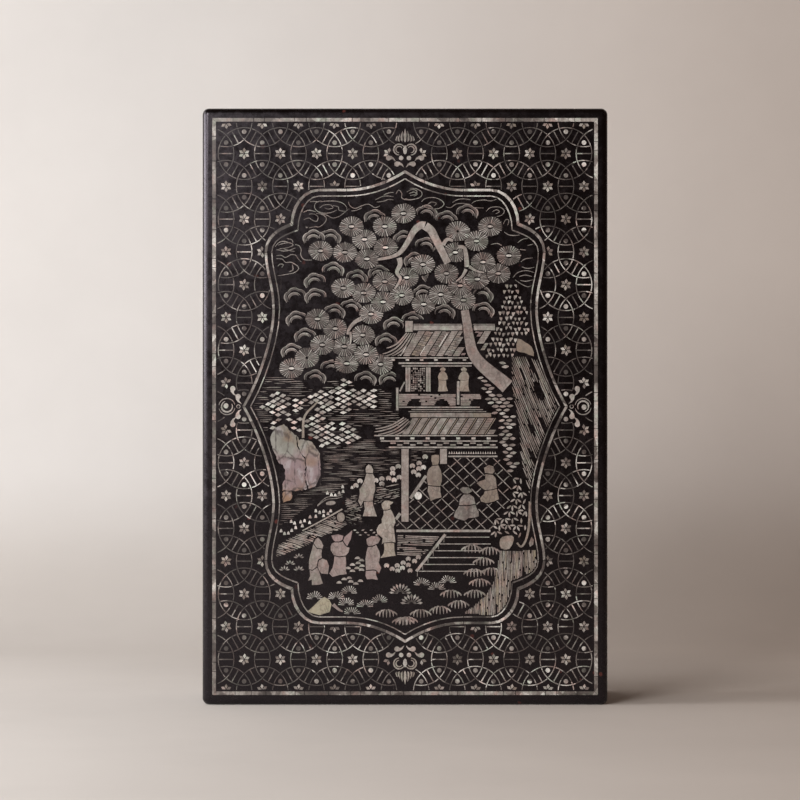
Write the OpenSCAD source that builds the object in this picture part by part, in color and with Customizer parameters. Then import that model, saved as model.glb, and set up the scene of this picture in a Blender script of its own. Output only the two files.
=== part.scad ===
// Black lacquer box with a mother-of-pearl lid, standing on one end as it is shown.
// The modules draw the box lying flat: X across the lid, Y along it, Z out through the lid's face.
// stand() then sets it on its end: the lid faces -Y and the box rests on z = 0.

/* [Box] */
// Width across the lid
box_w = 250; // [232:1:300]
// Length of the lid, the standing height
box_l = 368; // [335:1:430]
// Depth of the closed box, shell included
box_d = 92; // [70:1:130]
// Depth of the lid, from its face to its rim
lid_d = 34; // [24:1:44]
// Radius of the four upright corners
corner_r = 4; // [2:0.5:6]
// Radius of the edge around the lid's face
edge_r = 3; // [1:0.5:4]

/* [Boards] */
// Thickness of the body walls
wall_t = 7; // [5.5:0.5:9]
// Thickness of the lid board over the walls
lid_board_t = 6; // [5:0.5:9]
// Height of the tongue under the lid board
tongue_h = 3; // [2:0.5:5]
// Thickness of the base board
base_t = 6; // [4:0.5:9]
// Depth of the groove that holds the base board
groove_d = 3; // [2:0.5:4]
// Height of the foot rim below the base board
foot_h = 3; // [2:0.5:6]

/* [Lip] */
// Thickness of the lip strips
lip_t = 3; // [2:0.25:4]
// How far the lip stands up into the lid
lip_h = 8; // [5:0.5:12]
// Clearance between the lip and the lid walls
lip_clear = 0.4; // [0.2:0.05:0.8]
// Gap at the parting line between lid and body
part_gap = 0.25; // [0.1:0.05:0.5]

/* [Border] */
// Thickness of the shell pieces
shell_t = 0.4; // [0.3:0.05:0.8]
// Black margin outside the border strip
border_inset = 6.2; // [5:0.1:9]
// Width of the border strip
border_w = 2.2; // [1.5:0.1:3.5]
// Usual length of one border piece
border_piece = 12; // [8:1:30]
// Hairline between two shell pieces
shell_gap = 0.35; // [0.2:0.05:0.6]

/* [Frame] */
// Half width of the frame at its side points
frame_w = 99.5; // [92:0.5:100]
// Half length of the frame at its end points
frame_l = 144.8; // [138:0.2:150]
// Half length at the straight shoulders
frame_shoulder = 133.4; // [128:0.2:136]
// Distance of the notch from the long axis
notch_u = 69.7; // [66:0.1:72]
// Distance of the notch from the cross axis
notch_v = 112.4; // [109:0.2:115]
// Half width at the corner lobe
lobe_u = 85.8; // [83:0.2:88]
// Half width at the waist of the long side
waist_u = 81; // [79:0.2:83]
// Width of the outer frame line
frame_line = 1.5; // [1:0.1:2.5]
// Width of the inner frame line
inner_line = 0.65; // [0.5:0.05:1.2]
// Black band between the two frame lines
frame_band = 2.6; // [1.5:0.1:4]

/* [Diaper] */
// Distance between florets along a row
net_u = 22.3; // [20:0.1:27]
// Distance between floret rows
net_v = 20.2; // [18:0.1:24]
// Radius of a ring, so that rings cross near right angles
ring_r = 16; // [14.5:0.1:19]
// Width of a ring line
ring_line = 0.55; // [0.45:0.05:1.2]
// Angle left open where one ring passes under another
weave_gap = 2.4; // [1.8:0.1:4]
// Gap between a lens bar and the rings at its ends
bar_gap = 0.3; // [0.2:0.05:1]
// Width of a lens bar
bar_w = 0.65; // [0.5:0.05:1.2]
// Diameter of a dot
dot_d = 2.8; // [2:0.1:3.6]
// Diameter of a floret
floret_d = 6.4; // [5:0.1:8]
// Distance of the first floret row from the cross axis
row_start = 14.5; // [12:0.1:18]
// Distance of the outer floret column from the border strip
column_edge = 6.3; // [4:0.1:9]
// Least distance of a cut floret's centre from the border strip
floret_edge = 1; // [0.6:0.1:2]

/* [Picture] */
// Half width of a pine head
head_ru = 7.2; // [6:0.1:8]
// Half height of a pine head
head_rv = 6; // [5:0.1:7]
// Needle points of a pine head
head_points = 16; // [12:1:20]
// Width of the pine trunk at its foot
trunk_w = 10; // [8:0.5:12]
// Radius of a cloud crescent
cloud_r = 6; // [4.5:0.1:6.5]
// Width of a cloud crescent
cloud_w = 1; // [0.7:0.05:1.4]
// Width of a fine line
fine_line = 0.6; // [0.45:0.05:0.9]
// Width of one tile strip of the roofs
tile_w = 3.7; // [3:0.1:4.5]
// Pitch of the tile strips
tile_pitch = 4.4; // [3.8:0.1:5.5]
// Pitch of the lattice lines
lattice_pitch = 7.2; // [6:0.1:9]
// Height of a garden figure
figure_h = 29; // [24:0.5:31]
// Spacing of the water lines
water_pitch = 2.4; // [2:0.1:4]
// Length of a leaf
leaf_l = 4.2; // [3:0.1:4.4]

/* [Hidden] */
$fn = 72;
// Rim of the body walls
body_h = box_d - lid_d - part_gap;
// Rim of the lid walls
lid_rim = box_d - lid_d;
// Face of the lid board, where the shell lies
lid_face = box_d - shell_t;
// Underside of the lid board at its rim
board_low = lid_face - lid_board_t;
// Top of the base board
base_top = foot_h + base_t;
// Thickness of the lid walls, thinner by the lip's clearance
lid_wall_t = wall_t - lip_clear;
// Half sizes of the field inside the border strip
field_u = box_w / 2 - border_inset - border_w;
field_v = box_l / 2 - border_inset - border_w;
// Distance and direction from a floret to its neighbour in the next row
net_slant = norm([net_u / 2, net_v]);
slant_angle = atan2(net_v, net_u / 2);
// Angles on a ring where it passes under the neighbours' rings
cross_flat = acos(net_u / 2 / ring_r);
cross_slant = acos(net_slant / 2 / ring_r);
under = [
  for (s = [0, 180], a = [cross_flat, slant_angle + cross_slant, 180 - slant_angle + cross_slant]) s + a
];
// Floret rows and columns that reach into one quarter
row_count = ceil((field_v - row_start) / net_v) + 1;
column_count = ceil(field_u / net_u) + 2;
// Inset of the inner frame line's outer edge from the frame's centre line
inner_inset = frame_line / 2 + frame_band;
// Inset at which the picture starts
picture_inset = inner_inset + inner_line + 0.7;
// Outer faces of the frame's end point and side point, where the lotus buds start
tip_v = frame_l + frame_line / 2;
tip_u = frame_w + frame_line / 2;
// A lotus bud is drawn on 30 parts from the end point to the border, a side one on 16
end_part = (field_v - tip_v) / 30;
side_part = (field_u - tip_u) / 16;

// Sets the flat box on its end.
module stand()
  translate([0, 0, box_l / 2])
    rotate([90, 0, 0])
      translate([0, 0, -box_d / 2])
        children();

// Lays flat outlines of shell on the lid's face.
module inlay()
  color([0.74, 0.71, 0.68])
    stand()
      translate([0, 0, lid_face])
        linear_extrude(shell_t)
          children();

module lacquer()
  color([0.07, 0.06, 0.06])
    stand()
      children();

// Draws a quarter of the ornament in all four quarters.
module quarters()
  for (sx = [0, 1], sy = [0, 1])
    mirror([sx, 0, 0])
      mirror([0, sy, 0])
        children();

// Geometry helpers
function mix(a, b, t) = a + (b - a) * t;
function unit(v) = v / norm(v);
function turn(v) = [-v[1], v[0]];
function polar(r, a) = [r * cos(a), r * sin(a)];
function bez(p, t) =
  p[0] * pow(1 - t, 3) + 3 * p[1] * t * pow(1 - t, 2) + 3 * p[2] * t * t * (1 - t) + p[3] * pow(t, 3);
function flip(a) = [for (i = [len(a) - 1:-1:0]) a[i]];

// Unit normal of a path at point i.
function side_of(p, i) =
  turn(unit(p[min(i + 1, len(p) - 1)] - p[max(i - 1, 0)]));

// Outline of a band along a path, w0 wide at the start and w1 at the end.
function band(p, w0, w1) =
  let (n = len(p) - 1)
  concat(
    [for (i = [0:n]) p[i] + side_of(p, i) * mix(w0, w1, i / n) / 2],
    [for (i = [n:-1:0]) p[i] - side_of(p, i) * mix(w0, w1, i / n) / 2]
  );

// Outline of a pointed leaf along X.
function leaf(l, w) =
  [[0, 0], [l * 0.3, w * 0.42], [l * 0.62, w * 0.42], [l, 0], [l * 0.62, -w * 0.42], [l * 0.3, -w * 0.42]];

// Runs of true values in a list, as pairs of first and last index.
function run_end(f, i) = i < len(f) && f[i] ? run_end(f, i + 1) : i - 1;
function runs(f) =
  [for (i = [0:len(f) - 1]) if (f[i] && (i == 0 || !f[i - 1])) [i, run_end(f, i)]];

// True where a point lies outside every oval [u, v, half width, half height].
function clear_of(p, ovals, grow = 0) =
  len([for (o = ovals)
    if (pow((p[0] - o[0]) / (o[2] + grow), 2) + pow((p[1] - o[1]) / (o[3] + grow), 2) < 1) 1]) == 0;

// Frame outline
// Point on leg i of a quarter of the frame, inset by d, from the end point round to the side point.
function frame_leg(i, d) =
  let (
    tip = [0, frame_l - 1.2 * d],
    top = frame_shoulder - d,
    notch = [notch_u - d, notch_v - d],
    lobe = [lobe_u - d, 95],
    waist = [waist_u - d, 60],
    side = [frame_w - 1.15 * d, 0]
  )
  i == 0 ? [tip, tip + [12, -7.6], [24, top], [36, top]] :
  i == 1 ? [[36, top], [42, top], [48, top], [53, top]] :
  i == 2 ? [[53, top], [mix(53, notch[0], 0.6), top], [notch[0], mix(notch[1], top, 0.5)], notch] :
  i == 3 ? [notch, notch + [7, -2.6], [lobe[0], mix(95, notch[1], 0.6)], lobe] :
  i == 4 ? [lobe, [lobe[0], 84], [waist[0], 74], waist] :
  [waist, [waist[0], 42], side + [-9.5, 16.3], side];
function on_frame(i, d, t) = bez(frame_leg(i, d), t);

// Distance of the frame from the centre in direction a of a quarter, by inset.
function frame_table(d) =
  [for (i = [5:-1:0], t = [1:-0.125:0]) let (p = on_frame(i, d, t)) [atan2(p[1], p[0]), norm(p)]];
field_table = frame_table(-frame_line / 2 - shell_gap);
picture_table = frame_table(picture_inset);
function in_picture(p) = norm(p) < lookup(atan2(abs(p[1]), abs(p[0])), picture_table);
// Half width of the picture at height v, below the notch.
edge_table =
  [for (i = [5:-1:4], t = [1:-0.125:0]) let (p = on_frame(i, picture_inset, t)) [p[1], p[0]]];
function picture_edge(v) = lookup(abs(v), edge_table);

// A strip of the frame on leg i from t0 to t1, between insets d0 and d1.
module frame_strip(i, t0, t1, d0, d1, steps)
  polygon(concat(
    [for (k = [0:steps]) on_frame(i, d0, mix(t0, t1, k / steps))],
    [for (k = [steps:-1:0]) on_frame(i, d1, mix(t0, t1, k / steps))]
  ));

// Boards
module plan_round(w, l, r) {
  square([w - 2 * r, l], center = true);
  square([w, l - 2 * r], center = true);
  for (x = [-1, 1], y = [-1, 1])
    translate([x * (w / 2 - r), y * (l / 2 - r)])
      circle(r);
}

// One mitred wall of a frame of outer size w x l, on the -X side, with rounded outer corners.
module mitred_wall(w, l, t, h, r)
  linear_extrude(h)
    intersection() {
      plan_round(w, l, r);
      polygon([[-w / 2 - 1, -l / 2 - 1], [-w / 2 + t, -l / 2 + t], [-w / 2 + t, l / 2 - t], [-w / 2 - 1, l / 2 + 1]]);
    }

module body_wall(w, l)
  difference() {
    mitred_wall(w, l, wall_t, body_h, corner_r);
    translate([-w / 2 + wall_t - groove_d, -l / 2, foot_h])
      cube([groove_d + 1, l, base_t]);
  }

module body_wall_left() lacquer() body_wall(box_w, box_l);
module body_wall_right() lacquer() rotate([0, 0, 180]) body_wall(box_w, box_l);
module body_wall_top() lacquer() rotate([0, 0, -90]) body_wall(box_l, box_w);
module body_wall_foot() lacquer() rotate([0, 0, 90]) body_wall(box_l, box_w);

module base_board()
  lacquer()
    translate([-box_w / 2 + wall_t - groove_d, -box_l / 2 + wall_t - groove_d, foot_h])
      cube([box_w - 2 * (wall_t - groove_d), box_l - 2 * (wall_t - groove_d), base_t]);

// The lip strips line the body walls and stand up into the lid.
module lip(w, l)
  translate([0, 0, base_top])
    linear_extrude(body_h + lip_h - base_top)
      polygon([[-w / 2, -l / 2], [-w / 2 + lip_t, -l / 2 + lip_t], [-w / 2 + lip_t, l / 2 - lip_t], [-w / 2, l / 2]]);
lip_w = box_w - 2 * wall_t;
lip_l = box_l - 2 * wall_t;
module lip_left() lacquer() lip(lip_w, lip_l);
module lip_right() lacquer() rotate([0, 0, 180]) lip(lip_w, lip_l);
module lip_top() lacquer() rotate([0, 0, -90]) lip(lip_l, lip_w);
module lip_foot() lacquer() rotate([0, 0, 90]) lip(lip_l, lip_w);

module lid_wall(w, l)
  translate([0, 0, lid_rim])
    mitred_wall(w, l, lid_wall_t, board_low - lid_rim, corner_r);
module lid_wall_left() lacquer() lid_wall(box_w, box_l);
module lid_wall_right() lacquer() rotate([0, 0, 180]) lid_wall(box_w, box_l);
module lid_wall_top() lacquer() rotate([0, 0, -90]) lid_wall(box_l, box_w);
module lid_wall_foot() lacquer() rotate([0, 0, 90]) lid_wall(box_l, box_w);

// Quarter-round profile taken off the lid board's edge.
module edge_waste()
  difference() {
    translate([-edge_r, -edge_r]) square(edge_r + 1);
    translate([-edge_r, -edge_r]) circle(edge_r);
  }

// The lid board: a full slab with a rounded edge and a tongue that fits between the lid walls.
module lid_board()
  lacquer() {
    translate([0, 0, board_low])
      difference() {
        linear_extrude(lid_board_t) plan_round(box_w, box_l, corner_r);
        for (a = [0, 180])
          rotate([0, 0, a])
            translate([box_w / 2, box_l / 2 - corner_r, lid_board_t])
              rotate([90, 0, 0])
                linear_extrude(box_l - 2 * corner_r) edge_waste();
        for (a = [90, 270])
          rotate([0, 0, a])
            translate([box_l / 2, box_w / 2 - corner_r, lid_board_t])
              rotate([90, 0, 0])
                linear_extrude(box_w - 2 * corner_r) edge_waste();
        for (x = [-1, 1], y = [-1, 1])
          translate([x * (box_w / 2 - corner_r), y * (box_l / 2 - corner_r), lid_board_t])
            rotate([0, 0, atan2(y, x) - 45])
              rotate_extrude(angle = 90)
                translate([corner_r, 0]) edge_waste();
      }
    translate([-box_w / 2 + lid_wall_t, -box_l / 2 + lid_wall_t, board_low - tongue_h])
      cube([box_w - 2 * lid_wall_t, box_l - 2 * lid_wall_t, tongue_h + 1]);
  }

// Border strip, in mitred pieces of uneven length
function border_cuts(l) =
  let (n = round(l / border_piece))
  [for (k = [0:n]) l * (k + (k == 0 || k == n ? 0 : 0.3 * sin(137 * k + l))) / n - l / 2];
module border_side(w, l) {
  cuts = border_cuts(l);
  last = len(cuts) - 1;
  for (k = [1:last]) {
    a = cuts[k - 1] + (k == 1 ? 0 : shell_gap / 2);
    b = cuts[k] - (k == last ? shell_gap / 2 : shell_gap / 2);
    a_in = k == 1 ? a + border_w : a;
    b_in = k == last ? b - border_w : b;
    polygon([[a, w / 2], [b, w / 2], [b_in, w / 2 - border_w], [a_in, w / 2 - border_w]]);
  }
}
module pearl_border()
  inlay() {
    for (a = [0, 180]) rotate(a) border_side(box_l - 2 * border_inset, box_w - 2 * border_inset);
    for (a = [90, 270]) rotate(a) border_side(box_w - 2 * border_inset, box_l - 2 * border_inset);
  }

// Frame lines
frame_pieces = [3, 1, 2, 2, 2, 4];
// Half a hairline as a part of leg i
function leg_gap(i) = shell_gap / 2 / norm(on_frame(i, 0, 1) - on_frame(i, 0, 0));
module frame_outer()
  inlay()
    quarters()
      for (i = [0:5], k = [1:frame_pieces[i]])
        frame_strip(
          i, (k - 1) / frame_pieces[i] + leg_gap(i), k / frame_pieces[i] - leg_gap(i),
          -frame_line / 2, frame_line / 2, i == 1 ? 1 : 3);
module frame_inner()
  inlay()
    quarters()
      for (i = [0:5])
        frame_strip(i, leg_gap(i), 1 - leg_gap(i), inner_inset, inner_inset + inner_line, i == 1 ? 1 : 6);

// Diaper: rings crossing at right angles about a triangular net of florets
lotus_ovals = [
  [0, tip_v + 21.5 * end_part, 6.2 * end_part, 6.4 * end_part],
  [0, tip_v + 12.8 * end_part, 8.4 * end_part, 4.9 * end_part],
  [0, tip_v + 6.2 * end_part, 12.8 * end_part, 4.4 * end_part],
  [tip_u + 9.3 * side_part, 0, 6 * side_part, 6.2 * side_part],
  [tip_u + 3.6 * side_part, 0, 4.2 * side_part, 8.6 * side_part],
  [tip_u + 6.3 * side_part, 9.2 * side_part, 2.8 * side_part, 4 * side_part]
];
function in_field(p, m = 0) =
  p[0] > m + shell_gap / 2 && p[1] > m + shell_gap / 2
  && p[0] < field_u - shell_gap - m && p[1] < field_v - shell_gap - m
  && norm(p) > lookup(atan2(p[1], p[0]), field_table) + m * 1.2
  && clear_of(p, lotus_ovals, m);
net = [
  for (k = [-1:row_count - 1], j = [-1:column_count])
    let (u = field_u - column_edge - (abs(k) % 2) * net_u / 2 - j * net_u)
    if (u > -ring_r) [u, row_start + k * net_v]
];
arc_steps = 24;
function arc_angle(i, k) =
  mix(under[i] + weave_gap, (i == 5 ? under[0] + 360 : under[i + 1]) - weave_gap, k / arc_steps);

module ring_arc(a0, a1)
  rotate([0, 0, a0])
    rotate_extrude(angle = a1 - a0)
      translate([ring_r - ring_line / 2, 0])
        square([ring_line, shell_t]);

module diaper_rings()
  color([0.74, 0.71, 0.68])
    stand()
      translate([0, 0, lid_face])
        quarters()
          for (c = net, i = [0:5]) {
            open = [for (k = [0:arc_steps]) in_field(c + polar(ring_r, arc_angle(i, k)), ring_line / 2)];
            for (r = runs(open))
              if (r[1] > r[0] + 1)
                translate([c[0], c[1], 0])
                  ring_arc(arc_angle(i, r[0]), arc_angle(i, r[1]));
          }

// Bars across the lenses, dots in the triangles and six-petalled florets.
module diaper_bars()
  inlay()
    quarters()
      for (c = net, a = [0, slant_angle, 180 - slant_angle]) {
        step = a == 0 ? net_u : net_slant;
        bar_l = 2 * ring_r - step - ring_line - 2 * bar_gap;
        m = c + polar(step / 2, a);
        e = polar(bar_l / 2, a);
        if (in_field(m + e, bar_w / 2) && in_field(m - e, bar_w / 2) && in_field(m, bar_w))
          translate(m) rotate(a) square([bar_l, bar_w], center = true);
      }
module diaper_dots()
  inlay()
    quarters()
      for (c = net, e = [[net_u / 2, net_v / 3], [0, net_v * 2 / 3]]) {
        m = c + e;
        if (in_field(m, dot_d / 2)) translate(m) circle(dot_d / 2);
      }
module diaper_florets()
  inlay()
    quarters()
      for (n = net) {
        c = [n[0], min(n[1], field_v - floret_edge)];
        whole = in_field(c, floret_d / 2 - 0.4);
        open = [
          for (i = [0:5])
            let (root = c + polar(0.5, 90 + 60 * i), mid = c + polar(floret_d * 0.35, 90 + 60 * i))
            in_field(root, 0.1) && in_field(mid, floret_d * 0.15)
        ];
        if (whole)
          translate(c)
            polygon([for (i = [0:5], s = [0, 1]) polar(s == 0 ? floret_d / 2 : floret_d * 0.22, 90 + 60 * i + 30 * s)]);
        if (!whole)
          for (i = [0:5])
            if (open[i])
              translate(c)
                rotate(90 + 60 * i)
                  polygon([[0.5, 0], [floret_d * 0.22, floret_d * 0.1], [floret_d / 2, 0], [floret_d * 0.22, -floret_d * 0.1]]);
      }

// Lotus buds on the axes, over the seams of the diaper, from the frame's points out to the border
// Comma of p parts with its head to the right and its tail bent in to the axis
function comma(p) =
  p * concat(
    [[0.5, 1.7], [1.6, 3.9], [3.2, 5.1]],
    [for (a = [120:-30:-150]) [5, 3.9] + polar(1.6, a)],
    [[2.4, 3.2]]
  );
// Arched shell of one side of the bulb, between two ovals
function bulb_arch(p, r, w) =
  concat(
    [for (a = [150:-30:-90]) p * ([3.6, 12.8] + r * polar(1, a))],
    [for (a = [-90:30:150]) p * ([3.6, 12.8] + (r - w) * polar(1, a))]
  );
module lotus(p) {
  polygon(p * [[0, 15.4], [1.3, 13.2], [0.9, 10.6], [0, 9.8], [-0.9, 10.6], [-1.3, 13.2]]);
  polygon(p * [[0, 25.8], [0.9, 22.4], [0.7, 18.4], [0, 17.2], [-0.7, 18.4], [-0.9, 22.4]]);
  for (m = [0, 1])
    mirror([m, 0]) {
      polygon(comma(p));
      translate(p * [5.2, 3.7]) polygon(comma(p));
      translate(p * [2.4, 7.6]) circle(1.4 * p);
      polygon(bulb_arch(p, 3.8, 0.8));
      polygon(bulb_arch(p, 2.4, 0.8));
      polygon(p * [[1.5, 17.6], [2.6, 18.4], [2.7, 21], [1.5, 24.4], [1.6, 20.6]]);
      polygon(p * [[3.3, 17.6], [4.6, 18.2], [4.4, 20.2], [2.9, 22.6], [3.5, 20]]);
      polygon(p * [[5.3, 17.8], [6, 18.8], [5.4, 20.6], [4.4, 21.4], [5, 19.6]]);
    }
}
module lotus_small(p) {
  translate(p * [0, 9.3]) {
    difference() {
      circle(5.2 * p);
      circle(4.6 * p);
    }
    difference() {
      circle(3.6 * p);
      translate(p * [0.4, 0.6]) circle(2.9 * p);
    }
    translate(p * [0.4, 0.6]) circle(1.7 * p);
  }
  translate(p * [0, 2.4])
    difference() {
      circle(1.3 * p);
      circle(0.7 * p);
    }
  for (m = [0, 1])
    mirror([m, 0]) {
      translate(p * [1, -1.3]) polygon(comma(p));
      translate(p * [5.8, 1.9]) polygon(comma(p));
    }
}
module lotus_buds()
  inlay() {
    for (a = [0, 180]) rotate(a) translate([0, tip_v]) lotus(end_part);
    for (a = [0, 180]) rotate(a) translate([tip_u, 0]) rotate(-90) lotus_small(side_part);
  }

// Picture: a pine over a two-storeyed garden pavilion, with rocks, water and figures
// Places of the pine heads
heads = [
  [-33, 111], [-52, 96], [-37, 95], [-25, 103], [-12.5, 111], [-1, 119], [-12, 98], [-23.5, 91],
  [-38, 73], [-25.5, 70], [-12.5, 77], [-13.5, 64.5], [-2, 68.5], [-21, 57], [-54, 54],
  [32.5, 108], [44, 102], [52.5, 111], [31, 95], [11, 87.5], [48, 89], [64, 93], [25.5, 82],
  [57.5, 82], [44.5, 78.5], [1, 79.5], [34, 74.5], [22, 69], [36, 65.5], [11.5, 63],
  [-43, 48], [-26, 44], [-51, 38], [-37.5, 37], [-24, 32], [-60.5, 30], [-36, 26.5], [-15, 26], [-70, 23.5]
];
// Boughs and trunk of the pine, each a path with its start and end width
boughs = [
  [[[-16, 91], [-8, 92.6], [-2.5, 96], [2.5, 104], [6.5, 110], [10.8, 112.6]], 2.2, 4.4],
  [[[11.6, 112.4], [16, 109], [21, 99.5], [26.5, 88.5]], 4.4, 3.4],
  [[[-4, 91], [-3.2, 86], [-5, 79.5], [-6.5, 73]], 3.4, 1.6],
  [[[23, 100.6], [27, 103.2], [30, 102.4]], 2.4, 1.4],
  [[[33.4, 99], [37, 98.4], [38.6, 93], [39, 86]], 2.2, 2.4],
  [[[40.4, 86.4], [45, 84.6]], 1.8, 1],
  [[[37.6, 85], [32.5, 78.5]], 2.2, 1],
  [[[-27, 53.8], [-32, 50], [-36, 45.6]], 2.6, 1.6],
  [[[-34.8, 44.8], [-34.4, 39.6]], 1.6, 1.1]
];
trunk = [[37, 59], [38, 50], [39.2, 41], [43.5, 32.5], [49, 24.5], [55, 18.5], [62, 13]];
trunk_ends = [5, trunk_w];
// Ovals that keep other pieces clear of the trunk and the boughs
trunk_ovals = concat(
  [for (k = [0:len(trunk) - 2], t = [0:0.2:1])
    let (c = mix(trunk[k], trunk[k + 1], t), r = mix(5, trunk_w, (k + t) / (len(trunk) - 1)) / 2 + 0.3)
    [c[0], c[1], r, r]],
  [for (b = boughs, k = [0:len(b[0]) - 2], t = [0:0.25:1])
    let (c = mix(b[0][k], b[0][k + 1], t), r = max(b[1], b[2]) / 2 + 0.3)
    [c[0], c[1], r, r]]
);
head_stops = concat(trunk_ovals, [[-6, 32.6, 9.5, 3.6]]);
head_ovals = [for (h = heads) [h[0], h[1], head_ru, head_rv]];

module pine_boughs()
  inlay() {
    for (b = boughs) polygon(band(b[0], b[1], b[2]));
    polygon(band(trunk, trunk_ends[0], trunk_ends[1]));
  }

// Reach of head i in direction a: a full oval, cut back half way to its neighbours, boughs and frame.
function oval_r(a) = head_ru * head_rv / norm([head_rv * cos(a), head_ru * sin(a)]);
function reach_to(c, a, r) =
  let (
    d = polar(1, a),
    near = [for (h = heads) let (w = h - c, q = d * w) if (norm(w) > 0.1 && norm(w) < 2.2 * head_ru && q > 0.1) (norm(w) / 2 - 0.2) * norm(w) / q],
    blocked = [for (s = [1.6:0.4:r]) if (!clear_of(c + d * s, head_stops, 0.1) || !in_picture(c + d * s)) s - 0.4]
  )
  min(concat([r], near, blocked));
module pine_heads()
  inlay()
    for (h = heads)
      translate(h)
        polygon([
          for (i = [0:head_points - 1], s = [0, 1])
            let (a = 360 * (i + s / 2) / head_points)
            polar(s == 0 ? max(1.8, reach_to(h, a, oval_r(a))) : 1.7, a)
        ]);

// Cloud crescents between the pine heads
crescents = [
  [-57, 106], [-46, 105], [-19, 119], [-45, 85], [-56, 79], [-30, 80], [-17, 83.5], [-69, 69], [-56, 67],
  [-44, 60], [-33, 61], [-66, 56], [-2, 108], [13, 120], [24, 116], [38, 118], [12, 99], [3, 92], [17, 78],
  [11, 74], [47, 68], [48, 58], [24, 57], [5, 55], [-62, 44], [-70, 36], [-8, 50], [-12.5, 40.5], [-46, 22],
  [-56, 18.6], [-25.5, 18.6]
];
crescent_ovals = concat(head_ovals, trunk_ovals, [[30, 38, 34, 16.5], [-6, 33, 9.5, 4]]);
function crescent_edge(a, w) = polar(cloud_r + 0.7 * abs(cos(1.5 * (a - 90))) - w, a);
module crescent(c, r_shift, a0, a1, w, steps) {
  angles = [for (k = [0:steps]) mix(a0, a1, k / steps)];
  open = [for (a = angles) let (p = c + crescent_edge(a, r_shift)) clear_of(p, crescent_ovals, 0.5) && in_picture(p)];
  for (r = runs(open))
    if (r[1] > r[0] + 1)
      translate(c)
        polygon(concat(
          [for (k = [r[0]:r[1]]) crescent_edge(angles[k], r_shift - w / 2)],
          [for (k = [r[1]:-1:r[0]]) crescent_edge(angles[k], r_shift + w / 2 * (k == r[0] || k == r[1] ? -0.2 : 1))]
        ));
}
module cloud_crescents()
  inlay()
    for (c = crescents) {
      crescent(c, 0.5, -14, 194, cloud_w, 12);
      crescent(c + [-0.5, -0.8], 3, 30, 165, cloud_w * 1.5, 6);
    }

// Cloud scrolls in the lobes: [centre u, centre v, half width, half height, first angle, last angle, tail]
scrolls = [
  [-50, 123.6, 8.6, 3.6, -150, 250, 9], [-59, 115.6, 5, 4, 60, 330, 8], [-74.5, 101, 5, 3.2, -120, 215, 9],
  [-76, 88, 4, 4.2, 40, 320, 7], [-30, 126.6, 7, 2.8, -160, 190, 9], [-10.5, 131, 6.4, 3.2, 20, 330, 7],
  [9.5, 131.6, 6.6, 3, -140, 210, 9], [28, 126.4, 6.6, 2.8, 30, 330, 8], [47, 124, 7, 3.2, -150, 200, 6],
  [60.5, 116, 3.6, 4, -60, 240, 6], [74, 101.6, 4.6, 3.2, -30, 300, 6], [74.6, 90, 3.8, 3.4, -140, 200, 6],
  [69, 77.6, 4.6, 3.2, 40, 330, 6]
];
function scroll_path(s) =
  let (
    end = [s[0] + s[2] * cos(s[5]), s[1] + s[3] * sin(s[5])],
    along = unit([-s[2] * sin(s[5]), s[3] * cos(s[5])]),
    way = sign(along[0]),
    near = end + along * 2
  )
  concat(
    [for (k = [0:10])
      let (t = k / 10, a = mix(s[4], s[5], t), r = mix(0.3, 1, t))
      [s[0] + s[2] * r * cos(a), s[1] + s[3] * r * sin(a)]],
    [near, near + [way * s[6] * 0.4, along[1]], near + [way * s[6] * 0.8, 0]]
  );
scroll_ovals = concat(head_ovals, [for (c = crescents) [c[0], c[1] + 1, cloud_r + 1, cloud_r]]);
module cloud_scrolls()
  inlay()
    for (s = scrolls) {
      path = scroll_path(s);
      open = [for (p = path) clear_of(p, scroll_ovals, 0.6) && in_picture(p)];
      for (r = runs(open))
        if (r[1] > r[0] + 1)
          polygon(band([for (i = [r[0]:r[1]]) path[i]], fine_line, fine_line));
    }

// A straight line from a to b, broken where ovals cover it or the picture ends.
module trimmed_line(a, b, w, ovals, at_rail = false) {
  steps = ceil(norm(b - a) / 0.7);
  open = [
    for (k = [0:steps])
      let (p = mix(a, b, k / steps))
      clear_of(p, ovals, w / 2) && in_picture(p) && (!at_rail || right_of_rail(p))
  ];
  for (r = runs(open))
    if (r[1] > r[0] + 1)
      polygon(band([mix(a, b, r[0] / steps), mix(a, b, r[1] / steps)], w, w));
}

// Pavilion
upper_ridge_v = 46.5;
upper_eave_v = 30.5;
lower_ridge_v = -5.8;
lower_eave_v = -16.5;
roof_slope = 0.65;
// Slanted tile strips from the ridge down to the eave, kept clear of the trunk
module tiles(u0, u1, ridge, eave) {
  drop = ridge - eave;
  for (u = [u0:tile_pitch:u1 - tile_w])
    intersection() {
      polygon([[u, ridge], [u + tile_w, ridge], [u + tile_w - drop * roof_slope, eave], [u - drop * roof_slope, eave]]);
      translate([u - 40, eave]) square([80, drop]);
    }
}
module trunk_room(grow) polygon(band(trunk, trunk_ends[0] + grow, trunk_ends[1] + grow));
module pavilion_roofs()
  inlay() {
    difference() {
      union() {
        tiles(4.6, 56, upper_ridge_v, upper_eave_v);
        translate([5, 47.2]) square([48, 3.2]);
        translate([0, 46.6]) square([4.4, 6.6]);
        polygon([[3.9, 46], [3.6, 45.4], [-6.2, upper_eave_v], [-14, upper_eave_v], [-14, 33], [-8, 34.6], [-2.5, 39]]);
      }
      trunk_room(1);
    }
    tiles(4.6, 55, lower_ridge_v, lower_eave_v);
    translate([3, -5.2]) square([46, 2.2]);
    polygon([[3.6, -6.2], [-3, lower_eave_v], [-15, lower_eave_v], [-26, -14.6], [-15.5, -14.2], [-4, -10.6]]);
  }

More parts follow.
